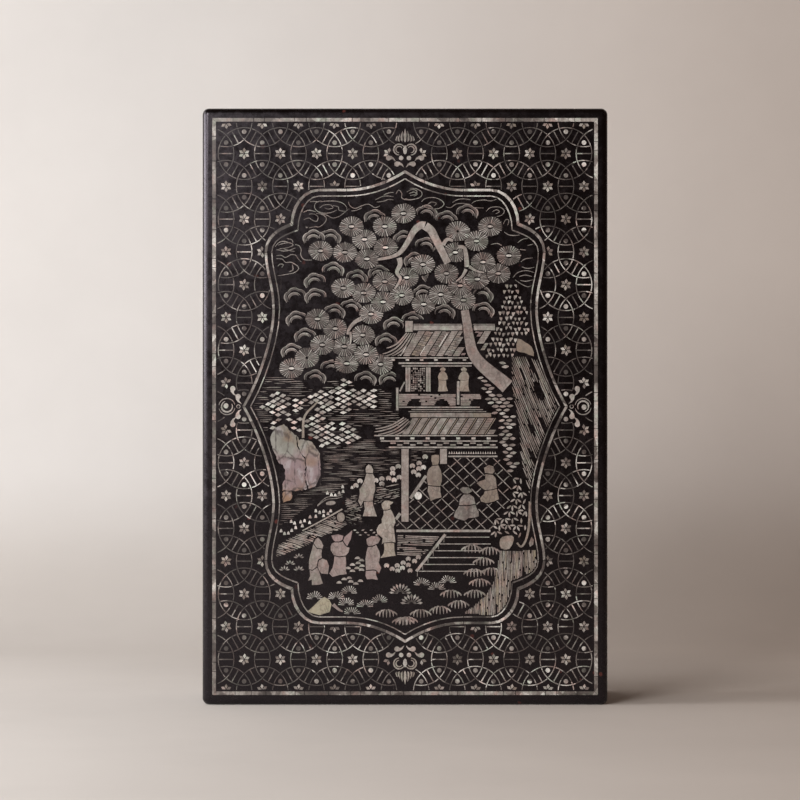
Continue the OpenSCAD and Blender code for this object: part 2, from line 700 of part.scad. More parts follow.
// Posts, beams and eave blocks
module pavilion_frame()
  inlay() {
    difference() {
      union() {
        translate([-3.5, 26.8]) square([44, 0.9]);
        translate([-3.5, 25.2]) square([44, 0.9]);
        for (u = [-2:8.5:38]) translate([u, 28.4]) square([3, 1.2]);
      }
      trunk_room(1);
    }
    translate([0.4, 9.2]) square([2.6, 15.4]);
    translate([12.4, 9.2]) square([2.8, 15.4]);
    translate([3.8, 9.2]) square([7.8, 13.6]);
    translate([-15, -18.1]) square([70, 0.9]);
    for (u = [-14:9.3:54]) translate([u, -19.9]) square([3, 1.2]);
    translate([-12, -21.3]) square([68, 0.7]);
    for (u = [-6:6.2:52]) translate([u, -23.4]) square([4.6, 1.3]);
    translate([-6.5, -25.2]) square([63, 0.9]);
    translate([-2.5, -70.5]) square([4.4, 44.6]);
    translate([21.5, -35]) square([4.4, 9.2]);
    for (u = [27.6:2.6:56]) translate([u, -27.8]) circle(0.95);
    translate([26.4, -30.6]) square([30, 0.9]);
    translate([-3, -77]) square([54.5, 1.2]);
  }

// Balcony rail between the storeys
module balcony()
  inlay() {
    difference() {
      translate([-6, 0.8]) square([52, 7.6]);
      for (u = [5.5, 22.5, 39]) translate([u, 0.8]) circle(3.7);
      translate([31.2, 0]) square([2.6, 12]);
      translate([-6.4, 0]) square([2.2, 12]);
    }
    translate([31.5, 1.2]) square([2, 14]);
    translate([-6.1, 0.8]) square([1.6, 11.6]);
    translate([-6, -0.7]) square([54, 0.8]);
    translate([-5, -2.2]) square([52, 0.8]);
  }

// Figures: [foot u, foot v, height, width, facing], heights and widths as parts of figure_h
figure_places = [
  [-22.6, -67.6, 1.1, 0.36, 1], [-11.2, -93, 1.18, 0.42, -1], [-54, -110, 1, 0.42, 1], [-39.6, -104.8, 0.97, 0.42, -1],
  [-20.4, -107, 0.93, 0.34, 1], [17.6, -57, 0.92, 0.32, 1], [37.4, -70, 0.72, 0.46, -1], [51, -59.5, 0.8, 0.38, 1],
  [22.6, 9.3, 0.48, 0.22, 1], [36.6, 9.4, 0.48, 0.22, -1]
];
module figure(h, w)
  polygon([
    [-w * 0.46, 0], [-w * 0.38, h * 0.2], [-w * 0.5, h * 0.44], [-w * 0.44, h * 0.62], [-w * 0.2, h * 0.77],
    [-w * 0.2, h * 0.86], [-w * 0.16, h * 0.95], [w * 0.04, h], [w * 0.2, h * 0.94], [w * 0.2, h * 0.85],
    [w * 0.16, h * 0.78], [w * 0.4, h * 0.66], [w * 0.5, h * 0.5], [w * 0.32, h * 0.42], [w * 0.34, h * 0.2], [w * 0.5, 0]
  ]);
module figures()
  inlay()
    for (f = figure_places)
      translate([f[0], f[1]])
        mirror([f[4] > 0 ? 0 : 1, 0])
          figure(figure_h * f[2], figure_h * f[3]);
figure_ovals = [
  for (f = figure_places)
    let (h = figure_h * f[2])
    [f[0], f[1] + h / 2, figure_h * f[3] * 0.66, h * 0.6]
];

// Diagonal lattice of the lower storey
lattice_low = -74.6;
lattice_high = -31.6;
lattice_left = 2.6;
lattice_right = 57;
lattice_ovals = concat(figure_ovals, [for (f = figure_places) [f[0], f[1] + 1, figure_h * f[3] * 0.62, 2.6]], [[24, -30, 3.4, 6.2], [8, -55.5, 3.2, 3.2]]);
// The lattice starts at a slanted rail that rises from the corner post
rail_low = [2.6, -57];
rail_high = [12.6, -43.4];
function right_of_rail(p) =
  p[0] > rail_low[0] + 1 + max(0, p[1] - rail_low[1]) * (rail_high[0] - rail_low[0]) / (rail_high[1] - rail_low[1]);
module lattice_lines(lean) {
  h = lattice_high - lattice_low;
  w = lattice_right - lattice_left;
  for (k = [1:floor((w + h) / lattice_pitch)]) {
    s = k * lattice_pitch;
    low = s < w ? [s, 0] : [w, s - w];
    top = s < h ? [0, s] : [s - h, h];
    x0 = lean > 0 ? lattice_right - low[0] : lattice_left + low[0];
    x1 = lean > 0 ? lattice_right - top[0] : lattice_left + top[0];
    if (norm(low - top) > 5)
      trimmed_line([x0, lattice_low + low[1]], [x1, lattice_low + top[1]], fine_line, lattice_ovals, true);
  }
}
module pavilion_lattice()
  inlay() {
    lattice_lines(1);
    lattice_lines(-1);
    polygon(band([rail_low, rail_high], 1.1, 1.1));
  }

// Terrace steps and their rail
module terrace_steps()
  inlay() {
    polygon(band([[24, -79.2], [5.5, -101]], 1.2, 1.2));
    for (k = [0:5])
      translate([26 - 3.4 * k, -80.4 - 4.1 * k]) square([10.5 + 3 * k, 0.8]);
    for (k = [0:7])
      translate([-4.6, -80.2 - 1.75 * k]) square([26 - 1.45 * k, 0.9]);
    translate([8, -55.5]) circle(2.4);
  }

// Rocks
module rock_left()
  inlay() {
    polygon([[-81, -22.5], [-75, -14], [-69.5, -17], [-72, -25], [-76, -31.5], [-79.4, -29]]);
    polygon([
      [-68.6, -17.4], [-56, -22], [-52.5, -28], [-52, -39.5], [-55.5, -45.5], [-60.5, -50], [-69, -52.5],
      [-70.5, -57.5], [-75, -57], [-74.6, -47], [-77, -36], [-75.2, -32], [-71, -25]
    ]);
    polygon(band([[-63, -18.6], [-62.5, -9], [-59.5, -2.5], [-55.5, 1.5]], 1.8, 1.2));
    polygon([[-60, -125], [-51, -117.6], [-47, -119], [-45.6, -123], [-48, -126.5], [-52, -128.6], [-57, -127.8]]);
  }
// Strips that run down a rock between its left and right edge
module rock_strips(left, right, n, fill)
  for (k = [0:n - 1]) {
    f = (k + 0.5) / n;
    mid = [for (i = [0:len(left) - 1]) mix(left[i], right[i], f)];
    wide = [for (i = [0:len(left) - 1]) norm(right[i] - left[i]) / n * fill];
    m = len(mid) - 1;
    polygon(concat(
      [for (i = [0:m]) mid[i] + side_of(mid, i) * wide[i] / 2],
      [for (i = [m:-1:0]) mid[i] - side_of(mid, i) * wide[i] / 2]
    ));
  }
// The right-hand rocks follow the frame: each edge is set in from it by a share of the picture's margin
module rocks_right()
  inlay() {
    cliff = [29, 12, -17, -36, -52];
    rock_strips(
      [for (i = [0:4]) [picture_edge(cliff[i]) - [13.2, 18.8, 13.6, 6.6, 2][i], cliff[i]]],
      [for (v = cliff) [picture_edge(v) - 1, v]], 9, 0.62);
    polygon([
      [picture_edge(43) - 7.4, 43], [picture_edge(41) - 1.8, 41.5],
      [picture_edge(32) - 2.6, 32], [picture_edge(33) - 10.4, 33]
    ]);
    rock_strips(
      [[57.5, -84], [57.5, -100], [54, -111], [46, -119.5], [36, -124.5]],
      [[65.5, -84], [65, -99], [62.5, -108], [60.5, -117], [55.5, -124]], 6, 0.6);
    rock_strips([[68.5, -84], [69, -94], [69.5, -104]], [[77.5, -84], [78, -94], [75.5, -103]], 4, 0.6);
    polygon([[58, -82.6], [60, -79.4], [65.5, -79.6], [66, -82.6]]);
    polygon([[71, -82.6], [72.5, -79.6], [76, -80], [77, -82.6]]);
  }

// Embankment at the water's edge: long strokes between its upper and lower edge
bank_low = [[-80, -92], [-66, -82.5], [-52, -77], [-38, -73.4], [-29, -71.5]];
bank_high = [[-79, -82.4], [-66, -76.4], [-54, -70.4], [-43, -64.4], [-32, -66]];
shore_low = [[-49, -63.4], [-40, -62.2], [-29.6, -61.6]];
shore_high = [[-52, -60.6], [-41, -56.6], [-29.6, -53]];
path_low = [[-16.4, -60], [-9.4, -57.2], [-3.4, -54.6]];
path_high = [[-16.4, -51.4], [-9.4, -49.8], [-3.4, -48.6]];
module strokes(low, high, n, w)
  for (k = [0:n - 1])
    polygon(band([for (i = [0:len(low) - 1]) mix(low[i], high[i], k / (n - 1))], w * 0.7, w));
module embankment()
  inlay() {
    strokes(bank_low, bank_high, 6, 0.9);
    strokes(shore_low, shore_high, 5, 0.9);
    strokes(path_low, path_high, 5, 0.9);
  }

// Lozenge leaves of the tree behind the left rock, in staggered rows
bush_places = [
  [-80, 3], [-70, 8.4], [-57.5, 13.4], [-77, -7], [-46.5, 8.4], [-34, 6.6], [-47, -3], [-36, -10], [-25.5, -1.6], [-51, -13.6]
];

// Pebbles and flower heads
pebble_places = [
  [-31, -95.6], [-28.4, -98.4], [-31.6, -100], [-28.4, -102.4], [-41.4, -107.8], [-37.6, -108],
  [-29.6, -106.4], [-9.8, -98.4], [-6, -97], [-2.4, -98.6], [1.4, -96.4], [5, -94.6], [-8, -101.6], [-4.2, -100.6],
  [-0.4, -102], [3.2, -99.4], [-75.6, -99.4], [-71.4, -97.6], [-67.4, -100.2], [-7.4, -38.6], [-5, -42], [4.4, -36.6],
  [8, -35.6], [4.6, -40.4], [8.2, -39.4], [-13, -45.2], [-9.2, -44.6]
];

// Water: broken level lines
water_ovals = concat(
  figure_ovals, head_ovals,
  [for (p = pebble_places) [p[0], p[1], 2.2, 2.2]],
  [for (b = bush_places) [b[0] + 3.6, b[1], 12, 5.4]],
  [
    [-67, -36, 16.8, 24], [-68, 3, 22, 14], [-53, 13, 14, 6], [-41, 0, 24, 15.5], [-28, -9, 14, 8], [-45, -13, 14, 6.5],
    [-17, -15.6, 14, 4], [-10, -20, 12, 5], [-4.6, 5, 4, 9], [-0.4, -48, 3.6, 24]
  ]
);
module water_lines()
  inlay()
    for (k = [0:26], j = [0:2]) {
      v = 15 - k * water_pitch;
      a = max(-84, -82 + 27 * j + 9 * sin(97 * k));
      b = min(-4.4, a + 20 + 5 * sin(61 * k + 120 * j));
      left = v < -46 ? -47 : -86;
      if (v > -51 && b > a + 4 && a > left && (v > -24 || v < -26))
        trimmed_line([a, v], [b, v], fine_line, water_ovals);
    }

// Leaves
module leaf_oval(l, w) polygon(leaf(l, w));
// Lozenge leaves of the tree
module bush_leaves()
  inlay()
    for (b = bush_places, r = [0:2], c = [0:3]) {
      p = b + [c * 4.7 + (r % 2) * 2.3 - 4, r * 2.5 - 2.5];
      if (in_picture(p - [leaf_l / 2, 0]) && clear_of(p, [[-61, -8, 4, 12]]) && clear_of(p, head_ovals, 2))
        translate(p)
          rotate(18)
            polygon([[-leaf_l / 2, 0], [0, leaf_l * 0.24], [leaf_l / 2, 0], [0, -leaf_l * 0.24]]);
    }

// Drop leaves above and oval leaves below, climbing the right-hand cliff, with sprays at its foot
vine_ovals = concat(trunk_ovals, head_ovals);
module spray(l, n, open)
  for (k = [0:n - 1])
    rotate(mix(-open, open, k / (n - 1)) + 90)
      polygon([[l * 0.25, 0], [l * 0.62, l * 0.085], [l, 0], [l * 0.62, -l * 0.085]]);
module vine_leaves()
  inlay() {
    for (k = [0:9], j = [0:5]) {
      p = [56 + j * 3.4 + (k % 2) * 1.7, 40 + k * 3.9];
      if (in_picture(p + [2, 0]) && clear_of(p, vine_ovals, 1.4) && clear_of(p, [[73, 37, 6, 8]]) && p[0] + p[1] > 98 && p[1] < 72)
        translate(p)
          polygon([[0, -1.6], [0.85, 0.7], [0, 1.3], [-0.85, 0.7]]);
    }
    for (k = [0:19], j = [0:1]) {
      p = [59.3 + j * 5 + (k % 2) * 1.6, -36 + k * 2.9];
      if (clear_of(p, vine_ovals, 2.6) && p[0] < 65.6)
        translate(p)
          rotate(8)
            leaf_oval_centred(4.4, 2);
    }
    for (k = [0:4], j = [0:1])
      translate([62.8 + 6.6 * j - 1.2 * (k % 2), -48 - 7.2 * k]) spray(5, 5, 62);
  }
module leaf_oval_centred(l, w) translate([-l / 2, 0]) leaf_oval(l, w);

// Arching grasses and upright fans on the ground
grasses = [
  [42.4, -87.6], [50.4, -93.4], [42.6, -97.4], [39.6, -104], [50, -101.4], [46, -108.4], [27, -117.4], [39.4, -113],
  [30.6, -123.4], [19.6, -127.6], [8, -130], [-2.4, -133.6], [-12.6, -127.6]
];
fans = [
  [-41, -118.6], [-31, -114.6], [-4.4, -114.4], [-37.4, -124.6], [-24.6, -123.6], [-16, -119.4],
  [-29, -129], [10, -109.6], [26.6, -108.6], [18, -112.4], [6.6, -120.4]
];
module grass_clump()
  for (k = [-2.5:2.5])
    polygon(band([[k * 0.5, 2.2], [k * 1.4, 1.9 - abs(k) * 0.1], [k * 2, -0.4 - abs(k) * 0.3]], 0.5, 0.9));
module ground_plants()
  inlay() {
    for (p = grasses) translate(p) grass_clump();
    for (p = fans) translate(p) spray(6.6, 7, 62);
  }

// Pebbles and flower heads, as discs
module pebbles()
  inlay()
    for (p = pebble_places)
      translate(p)
        circle(1.5);

base_board();
body_wall_left();
body_wall_right();
body_wall_top();
body_wall_foot();
lip_left();
lip_right();
lip_top();
lip_foot();
lid_board();
lid_wall_left();
lid_wall_right();
lid_wall_top();
lid_wall_foot();
pearl_border();
frame_outer();
frame_inner();
diaper_rings();
diaper_bars();
diaper_dots();
diaper_florets();
lotus_buds();
pine_boughs();
pine_heads();
cloud_crescents();
cloud_scrolls();
pavilion_roofs();
pavilion_frame();
pavilion_lattice();
balcony();
terrace_steps();
figures();
rock_left();
rocks_right();
embankment();
water_lines();
bush_leaves();
vine_leaves();
ground_plants();
pebbles();
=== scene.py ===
import bmesh
import bpy
import math
import random
from mathutils import Matrix, Vector


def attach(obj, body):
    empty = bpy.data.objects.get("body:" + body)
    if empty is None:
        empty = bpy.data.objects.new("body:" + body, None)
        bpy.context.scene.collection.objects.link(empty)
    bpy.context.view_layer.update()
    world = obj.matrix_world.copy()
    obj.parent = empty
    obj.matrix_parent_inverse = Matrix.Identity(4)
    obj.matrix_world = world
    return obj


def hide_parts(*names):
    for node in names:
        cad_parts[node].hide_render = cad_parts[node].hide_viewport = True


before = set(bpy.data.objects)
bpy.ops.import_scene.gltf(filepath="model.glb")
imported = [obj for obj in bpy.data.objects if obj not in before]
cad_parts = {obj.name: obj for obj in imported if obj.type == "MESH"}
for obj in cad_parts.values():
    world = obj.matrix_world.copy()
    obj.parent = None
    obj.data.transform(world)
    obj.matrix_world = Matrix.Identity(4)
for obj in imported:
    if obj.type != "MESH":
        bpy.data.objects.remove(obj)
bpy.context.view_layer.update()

# Sizes of the box, in metres
MM = 0.001
FACE_Y = -0.0456
SHELL = 0.0004
LACQUER_Y = -0.0459
MIDDLE_Z = 0.184
HALF_W = 0.125
HALF_L = 0.184
LID_RIM_Y = -0.012
BOARD_LOW_Y = -0.0396
TONGUE_Y = -0.0366
BODY_RIM_Y = -0.01175
FOOT_Y = 0.046
BASE_Y = 0.043
LID_WALL = 0.0066
BODY_WALL = 0.007
CORNER = 4 * MM
INNER_CORNER = 0.4 * MM
LID_EDGE = 3.9 * MM
RIM_EDGE = 0.8 * MM
FOOT_EDGE = 1.5 * MM
COAT = 0.3 * MM
COAT_GAP = 0.2 * MM
SMOOTH_ANGLE = math.radians(35)


# Finishes

class Value:
    """A shader value. Arithmetic on it adds Math nodes."""

    def __init__(self, finish, socket):
        self.finish = finish
        self.socket = socket

    def math(self, operation, a, b):
        return self.finish.add("ShaderNodeMath", {"operation": operation}, {0: a, 1: b})

    def __add__(self, other):
        return self.math("ADD", self, other)

    __radd__ = __add__

    def __sub__(self, other):
        return self.math("SUBTRACT", self, other)

    def __rsub__(self, other):
        return self.math("SUBTRACT", other, self)

    def __mul__(self, other):
        return self.math("MULTIPLY", self, other)

    __rmul__ = __mul__

    def __gt__(self, other):
        return self.math("GREATER_THAN", self, other)

    def __lt__(self, other):
        return self.math("LESS_THAN", self, other)


class Finish:
    """A material made of nodes on Object coordinates."""

    def __init__(self, name):
        self.material = bpy.data.materials.new(name)
        self.material.use_nodes = True
        self.tree = self.material.node_tree
        self.tree.nodes.clear()
        self.shader = self.tree.nodes.new("ShaderNodeBsdfPrincipled")
        output = self.tree.nodes.new("ShaderNodeOutputMaterial")
        self.tree.links.new(self.shader.outputs[0], output.inputs[0])
        self.place = self.add("ShaderNodeTexCoord", output="Object")

    def add(self, kind, settings=None, inputs=None, output=0):
        node = self.tree.nodes.new(kind)
        for name, value in (settings or {}).items():
            if name == "stops":
                self.set_stops(node.color_ramp, value)
            else:
                setattr(node, name, value)
        for name, value in (inputs or {}).items():
            self.feed(node.inputs[name], value)
        return Value(self, node.outputs[output])

    def set_stops(self, ramp, stops):
        while len(ramp.elements) > 1:
            ramp.elements.remove(ramp.elements[-1])
        for index, (position, colour) in enumerate(stops):
            stop = ramp.elements[0] if index == 0 else ramp.elements.new(position)
            stop.position = position
            stop.color = (*colour, 1)

    def feed(self, socket, value):
        if isinstance(value, Value):
            self.tree.links.new(value.socket, socket)
        elif isinstance(value, tuple) and len(value) == 3 and len(socket.default_value) == 4:
            socket.default_value = (*value, 1)
        else:
            socket.default_value = value

    def give(self, **inputs):
        for name, value in inputs.items():
            self.feed(self.shader.inputs[name.replace("_", " ")], value)
        return self.material

    def at(self, scale):
        size = scale if isinstance(scale, tuple) else (scale, scale, scale)
        return self.add("ShaderNodeMapping", None, {0: self.place, 3: size})

    def axis(self, index):
        return self.add("ShaderNodeSeparateXYZ", None, {0: self.place}, index)

    def noise(self, scale, detail, rough):
        return self.add("ShaderNodeTexNoise", None,
                        {"Vector": self.at(scale), "Scale": 1.0, "Detail": detail, "Roughness": rough})

    def cells(self, scale, feature, output):
        return self.add("ShaderNodeTexVoronoi", {"feature": feature},
                        {"Vector": self.at(scale), "Scale": 1.0}, output)

    def cracks(self, scale, ragged):
        """Distance to the nearest line of a net, with a ragged edge."""
        return self.cells(scale, "DISTANCE_TO_EDGE", 0) + 0.3 * (self.noise(ragged, 4.0, 0.6) - 0.5)

    def ramp(self, value, *stops):
        return self.add("ShaderNodeValToRGB", {"stops": stops}, {0: value})

    def between(self, value, low, high, to_low=0.0, to_high=1.0):
        return self.add("ShaderNodeMapRange", {"interpolation_type": "SMOOTHSTEP"},
                        {0: value, 1: low, 2: high, 3: to_low, 4: to_high})

    def mix(self, amount, a, b):
        return self.add("ShaderNodeMix", {"data_type": "RGBA"}, {0: amount, 6: a, 7: b}, 2)

    def tinted(self, amount, colour, tint):
        return self.add("ShaderNodeMix", {"data_type": "RGBA", "blend_type": "MULTIPLY"},
                        {0: amount, 6: colour, 7: tint}, 2)

    def grey(self, colour):
        return self.add("ShaderNodeSeparateColor", None, {0: colour})

    def attribute(self, name):
        return self.add("ShaderNodeAttribute", {"attribute_name": name}, None, 2)

    def bump(self, height, strength, distance):
        return self.add("ShaderNodeBump", None,
                        {"Height": height, "Strength": strength, "Distance": distance})


def lacquer(name, deep, worn, gloss, specks):
    """Old lacquer: one deep colour, uneven gloss, fine rubbing and a few worn red-brown specks."""
    f = Finish(name)
    cloud = f.noise(14, 4.0, 0.55)
    mottle = f.noise(170, 4.0, 0.6)
    fine = f.noise(420, 3.0, 0.6)
    rub = f.noise((900, 900, 60), 2.0, 0.5)
    base = f.mix(f.between(cloud, 0.42, 0.72, 0.0, 0.6), deep, worn)
    base = f.mix(f.between(mottle, 0.48, 0.72), base, worn)
    base = f.mix(f.between(rub, 0.66, 0.8, 0.0, 0.3), base, (0.05, 0.042, 0.038))
    speck = f.cells(240, "F1", "Distance") + 0.5 * (fine - 0.5)
    rare = f.grey(f.cells(240, "F1", "Color"))
    rubbed = f.between(f.noise(22, 2.0, 0.5), 0.5, 0.62)
    base = f.mix((speck < 0.3) * (rare > 1 - specks) * rubbed, base, (0.075, 0.02, 0.015))
    rough = gloss + 0.16 * (cloud - 0.5) + 0.26 * (mottle - 0.5) + 0.2 * (fine - 0.5)
    height = 0.7 * f.noise(36, 2.0, 0.4) + 0.2 * mottle + 0.08 * fine
    return f.give(Base_Color=base, Roughness=rough, Normal=f.bump(height, 0.25, 0.0006), IOR=1.5,
                  Specular_IOR_Level=0.45, Specular_Tint=(1.0, 0.88, 0.98))


def pearl(name, light=None, spread=0.5, cell=95, crackle=0.25, streak=(260, 260, 90)):
    """Mother-of-pearl: a tone for each piece, drifting pink and green, fine layers and grime."""
    f = Finish(name)
    if light is None:
        tone = f.attribute("tone")
        blush = f.attribute("blush")
    else:
        dull = f.between(f.noise(30, 3.0, 0.55), 0.4, 0.62, -0.5 * spread, 0.12)
        tone = light + spread * (f.grey(f.cells(cell, "F1", "Color")) - 0.5) + dull
        blush = None
    layers = f.noise(streak, 4.0, 0.6)
    patch = f.noise(90, 2.0, 0.5)
    grain = f.noise(640, 3.0, 0.65)
    depth = tone + 0.5 * (layers - 0.5) + 0.3 * (patch - 0.5) + 0.75 * (grain - 0.5)
    colour = f.ramp(depth, (0.0, (0.045, 0.035, 0.031)), (0.3, (0.15, 0.124, 0.111)),
                    (0.55, (0.31, 0.276, 0.25)), (0.8, (0.53, 0.495, 0.455)),
                    (1.0, (0.76, 0.73, 0.68)))
    drift = f.noise(110, 3.0, 0.6)
    colour = f.tinted(f.between(drift, 0.52, 0.68, 0.0, 0.8), colour, (1.18, 0.9, 0.87))
    colour = f.tinted(f.between(drift, 0.48, 0.34, 0.0, 0.8), colour, (0.9, 1.06, 0.97))
    if blush:
        tint = f.ramp(0.5 * blush + 0.5, (0.0, (0.42, 0.42, 0.27)), (0.25, (0.40, 0.31, 0.21)),
                      (0.5, (0.37, 0.27, 0.22)), (0.75, (0.37, 0.235, 0.235)))
        colour = f.mix(blush.math("ABSOLUTE", blush, 0.0), colour, tint)
    edge = f.cracks((360, 360, 230), 420)
    gone = f.between(f.noise(120, 2.0, 0.5), 0.42, 0.6, 0.15, 1.0)
    colour = f.mix(f.between(edge, 0.09, 0.0, 0.0, crackle) * gone, colour, (0.05, 0.035, 0.032))
    grime = f.noise(190, 4.0, 0.65)
    colour = f.mix(f.between(grime, 0.54, 0.72, 0.0, 0.6), colour, (0.10, 0.078, 0.068))
    rough = 0.36 + 0.2 * (layers - 0.5)
    return f.give(Base_Color=colour, Roughness=rough, Normal=f.bump(layers, 0.2, 0.0002), IOR=1.53,
                  Specular_IOR_Level=0.9)


def rock_pearl(name):
    """Broad shells, pale and greenish at the top, mauve below it and brown at the foot."""
    f = Finish(name)
    warp = f.noise(75, 4.0, 0.6)
    height = f.between(f.axis(2), 0.118, 0.174) + 0.8 * (warp - 0.5)
    colour = f.ramp(height, (0.05, (0.30, 0.185, 0.12)), (0.25, (0.26, 0.18, 0.165)),
                    (0.45, (0.28, 0.205, 0.215)), (0.7, (0.275, 0.21, 0.205)),
                    (0.85, (0.31, 0.305, 0.27)), (1.0, (0.21, 0.2, 0.17)))
    pale = f.between(f.noise((150, 150, 70), 4.0, 0.6), 0.5, 0.64, 0.0, 0.75)
    colour = f.mix(pale, colour, (0.42, 0.38, 0.385))
    grain = f.noise((560, 560, 330), 4.0, 0.65)
    colour = f.mix(f.between(grain, 0.5, 0.75, 0.0, 0.7), colour, (0.085, 0.062, 0.056))
    brown = f.between(f.noise(48, 2.0, 0.5), 0.58, 0.7, 0.0, 0.6)
    colour = f.mix(brown, colour, (0.27, 0.165, 0.1))
    edge = f.cracks((130, 130, 80), 300)
    colour = f.mix(f.between(edge, 0.07, 0.0, 0.0, 0.7), colour, (0.05, 0.036, 0.034))
    return f.give(Base_Color=colour, Roughness=0.36, Normal=f.bump(warp, 0.2, 0.0003), IOR=1.53)


BLACK_LACQUER = lacquer("black_lacquer", (0.0011, 0.0008, 0.0009), (0.0045, 0.003, 0.0029),
                        gloss=0.265, specks=0.05)
SIDE_LACQUER = lacquer("side_lacquer", (0.0016, 0.0012, 0.0012), (0.007, 0.005, 0.0044),
                       gloss=0.28, specks=0.04)
RED_LACQUER = lacquer("red_lacquer", (0.105, 0.014, 0.011), (0.07, 0.011, 0.009),
                      gloss=0.34, specks=0.0)
BORDER_PEARL = pearl("border_pearl", 0.56, cell=150, spread=0.55, crackle=0.4)
LINE_PEARL = pearl("line_pearl", 0.54, cell=118, spread=0.65)
DIAPER_PEARL = pearl("diaper_pearl", 0.38, cell=165, spread=1.15)
DOT_PEARL = pearl("dot_pearl", 0.54, cell=110, spread=1.1)
PICTURE_PEARL = pearl("picture_pearl")
ROBE_PEARL = pearl("robe_pearl", crackle=0.5, streak=(420, 420, 160))
ROCK_PEARL = rock_pearl("rock_pearl")


# Pieces

def piece(name, bm, finish, body, slot, *nodes):
    mesh = bpy.data.meshes.new(name)
    bm.to_mesh(mesh)
    bm.free()
    mesh.materials.append(finish)
    obj = bpy.data.objects.new(name, mesh)
    bpy.context.scene.collection.objects.link(obj)
    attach(obj, body)
    if nodes:
        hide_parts(*nodes)
    return obj


def coat(finish, *names):
    """Gives CAD nodes their finish."""
    for name in names:
        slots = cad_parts[name].data.materials
        slots.clear()
        slots.append(finish)


def slab(bm, low, high):
    """A box between two corners."""
    middle = (Vector(low) + Vector(high)) / 2
    size = Vector(high) - Vector(low)
    place = Matrix.Translation(middle) @ Matrix.Diagonal((*size, 1))
    return bmesh.ops.create_cube(bm, size=1, matrix=place)["verts"]


def edges_along(verts, axis):
    found = dict.fromkeys(e for v in verts for e in v.link_edges)
    return [e for e in found if abs((e.verts[0].co - e.verts[1].co).normalized()[axis]) > 0.99]


def edges_at_y(bm, y):
    return [e for e in bm.edges if all(abs(v.co.y - y) < 1e-6 for v in e.verts)]


def rounded(bm, edges, radius, segments):
    bmesh.ops.bevel(bm, geom=edges, offset=radius, segments=segments, profile=0.5,
                    affect="EDGES", material=-1)


def smooth_faces(bm):
    """Shades rounded edges smooth and keeps flat faces crisp."""
    bm.normal_update()
    for face in bm.faces:
        face.smooth = True
    for edge in bm.edges:
        edge.smooth = edge.is_manifold and edge.calc_face_angle(0) < SMOOTH_ANGLE


def lid_panel():
    bm = bmesh.new()
    verts = slab(bm, (-HALF_W, LACQUER_Y, 0), (HALF_W, BOARD_LOW_Y, 2 * HALF_L))
    rounded(bm, edges_along(verts, 1), CORNER, 8)
    rounded(bm, edges_at_y(bm, LACQUER_Y), LID_EDGE, 10)
    inner_w = HALF_W - LID_WALL
    inner_l = HALF_L - LID_WALL
    slab(bm, (-inner_w, BOARD_LOW_Y - MM, MIDDLE_Z - inner_l), (inner_w, TONGUE_Y, MIDDLE_Z + inner_l))
    smooth_faces(bm)
    piece("lid_panel", bm, BLACK_LACQUER, "lid", "lacquer_lid", "lid_board")


def rounded_outline(half_w, half_l, radius):
    """Points round a rectangle with rounded corners, about the middle of the lid."""
    points = []
    for way_x, way_z, start in ((1, 1, 0), (-1, 1, 90), (-1, -1, 180), (1, -1, 270)):
        for i in range(9):
            a = math.radians(start + 90 * i / 8)
            x = way_x * (half_w - radius) + radius * math.cos(a)
            z = way_z * (half_l - radius) + radius * math.sin(a)
            points.append((x, MIDDLE_Z + z))
    return points


def near_outside(vert, depth):
    return min(HALF_W - abs(vert.co.x), HALF_L - abs(vert.co.z - MIDDLE_Z)) < depth


def sides(name, front, back, wall, rims, body, slot, nodes):
    """Four walls under one coat of lacquer, which hides their mitres."""
    bm = bmesh.new()
    outer = rounded_outline(HALF_W, HALF_L, CORNER)
    inner = rounded_outline(HALF_W - wall, HALF_L - wall, INNER_CORNER)
    rings = [[bm.verts.new((x, y, z)) for x, z in outline]
             for outline, y in ((outer, front), (outer, back), (inner, back), (inner, front))]
    for ring, after in zip(rings, rings[1:] + rings[:1]):
        for i in range(len(ring)):
            bm.faces.new((ring[i - 1], ring[i], after[i], after[i - 1]))
    bmesh.ops.recalc_face_normals(bm, faces=bm.faces[:])
    bm.normal_update()
    for y, radius in rims:
        rim = [e for e in edges_at_y(bm, y)
               if any(abs(f.normal.y) < 0.5 for f in e.link_faces)
               and all(near_outside(v, wall / 2) for v in e.verts)]
        rounded(bm, rim, radius, 4)
    smooth_faces(bm)
    piece(name, bm, SIDE_LACQUER, body, slot, *nodes)


def base_underside():
    """Black lacquer on the outer side of the base board."""
    bm = bmesh.new()
    inner_w = HALF_W - BODY_WALL - COAT_GAP
    inner_l = HALF_L - BODY_WALL - COAT_GAP
    slab(bm, (-inner_w, BASE_Y, MIDDLE_Z - inner_l), (inner_w, BASE_Y + COAT, MIDDLE_Z + inner_l))
    piece("base_underside", bm, SIDE_LACQUER, "box", "lacquer_body")


lid_panel()
base_underside()
sides("lid_sides", BOARD_LOW_Y, LID_RIM_Y, LID_WALL, [(LID_RIM_Y, RIM_EDGE)],
      "lid", "lacquer_lid", ["lid_wall_left", "lid_wall_right", "lid_wall_top", "lid_wall_foot"])
sides("body_sides", BODY_RIM_Y, FOOT_Y, BODY_WALL, [(BODY_RIM_Y, RIM_EDGE), (FOOT_Y, FOOT_EDGE)],
      "box", "lacquer_body", ["body_wall_left", "body_wall_right", "body_wall_top", "body_wall_foot"])
coat(RED_LACQUER, "lip_left", "lip_right", "lip_top", "lip_foot", "base_board")
coat(BORDER_PEARL, "pearl_border")
coat(LINE_PEARL, "frame_outer", "frame_inner")
coat(DIAPER_PEARL, "diaper_rings", "diaper_bars")
coat(DOT_PEARL, "diaper_dots")


# Flat drawing on the lid's face, in millimetres from its middle
LAYER = 0.005 * MM
LAYERS = 13


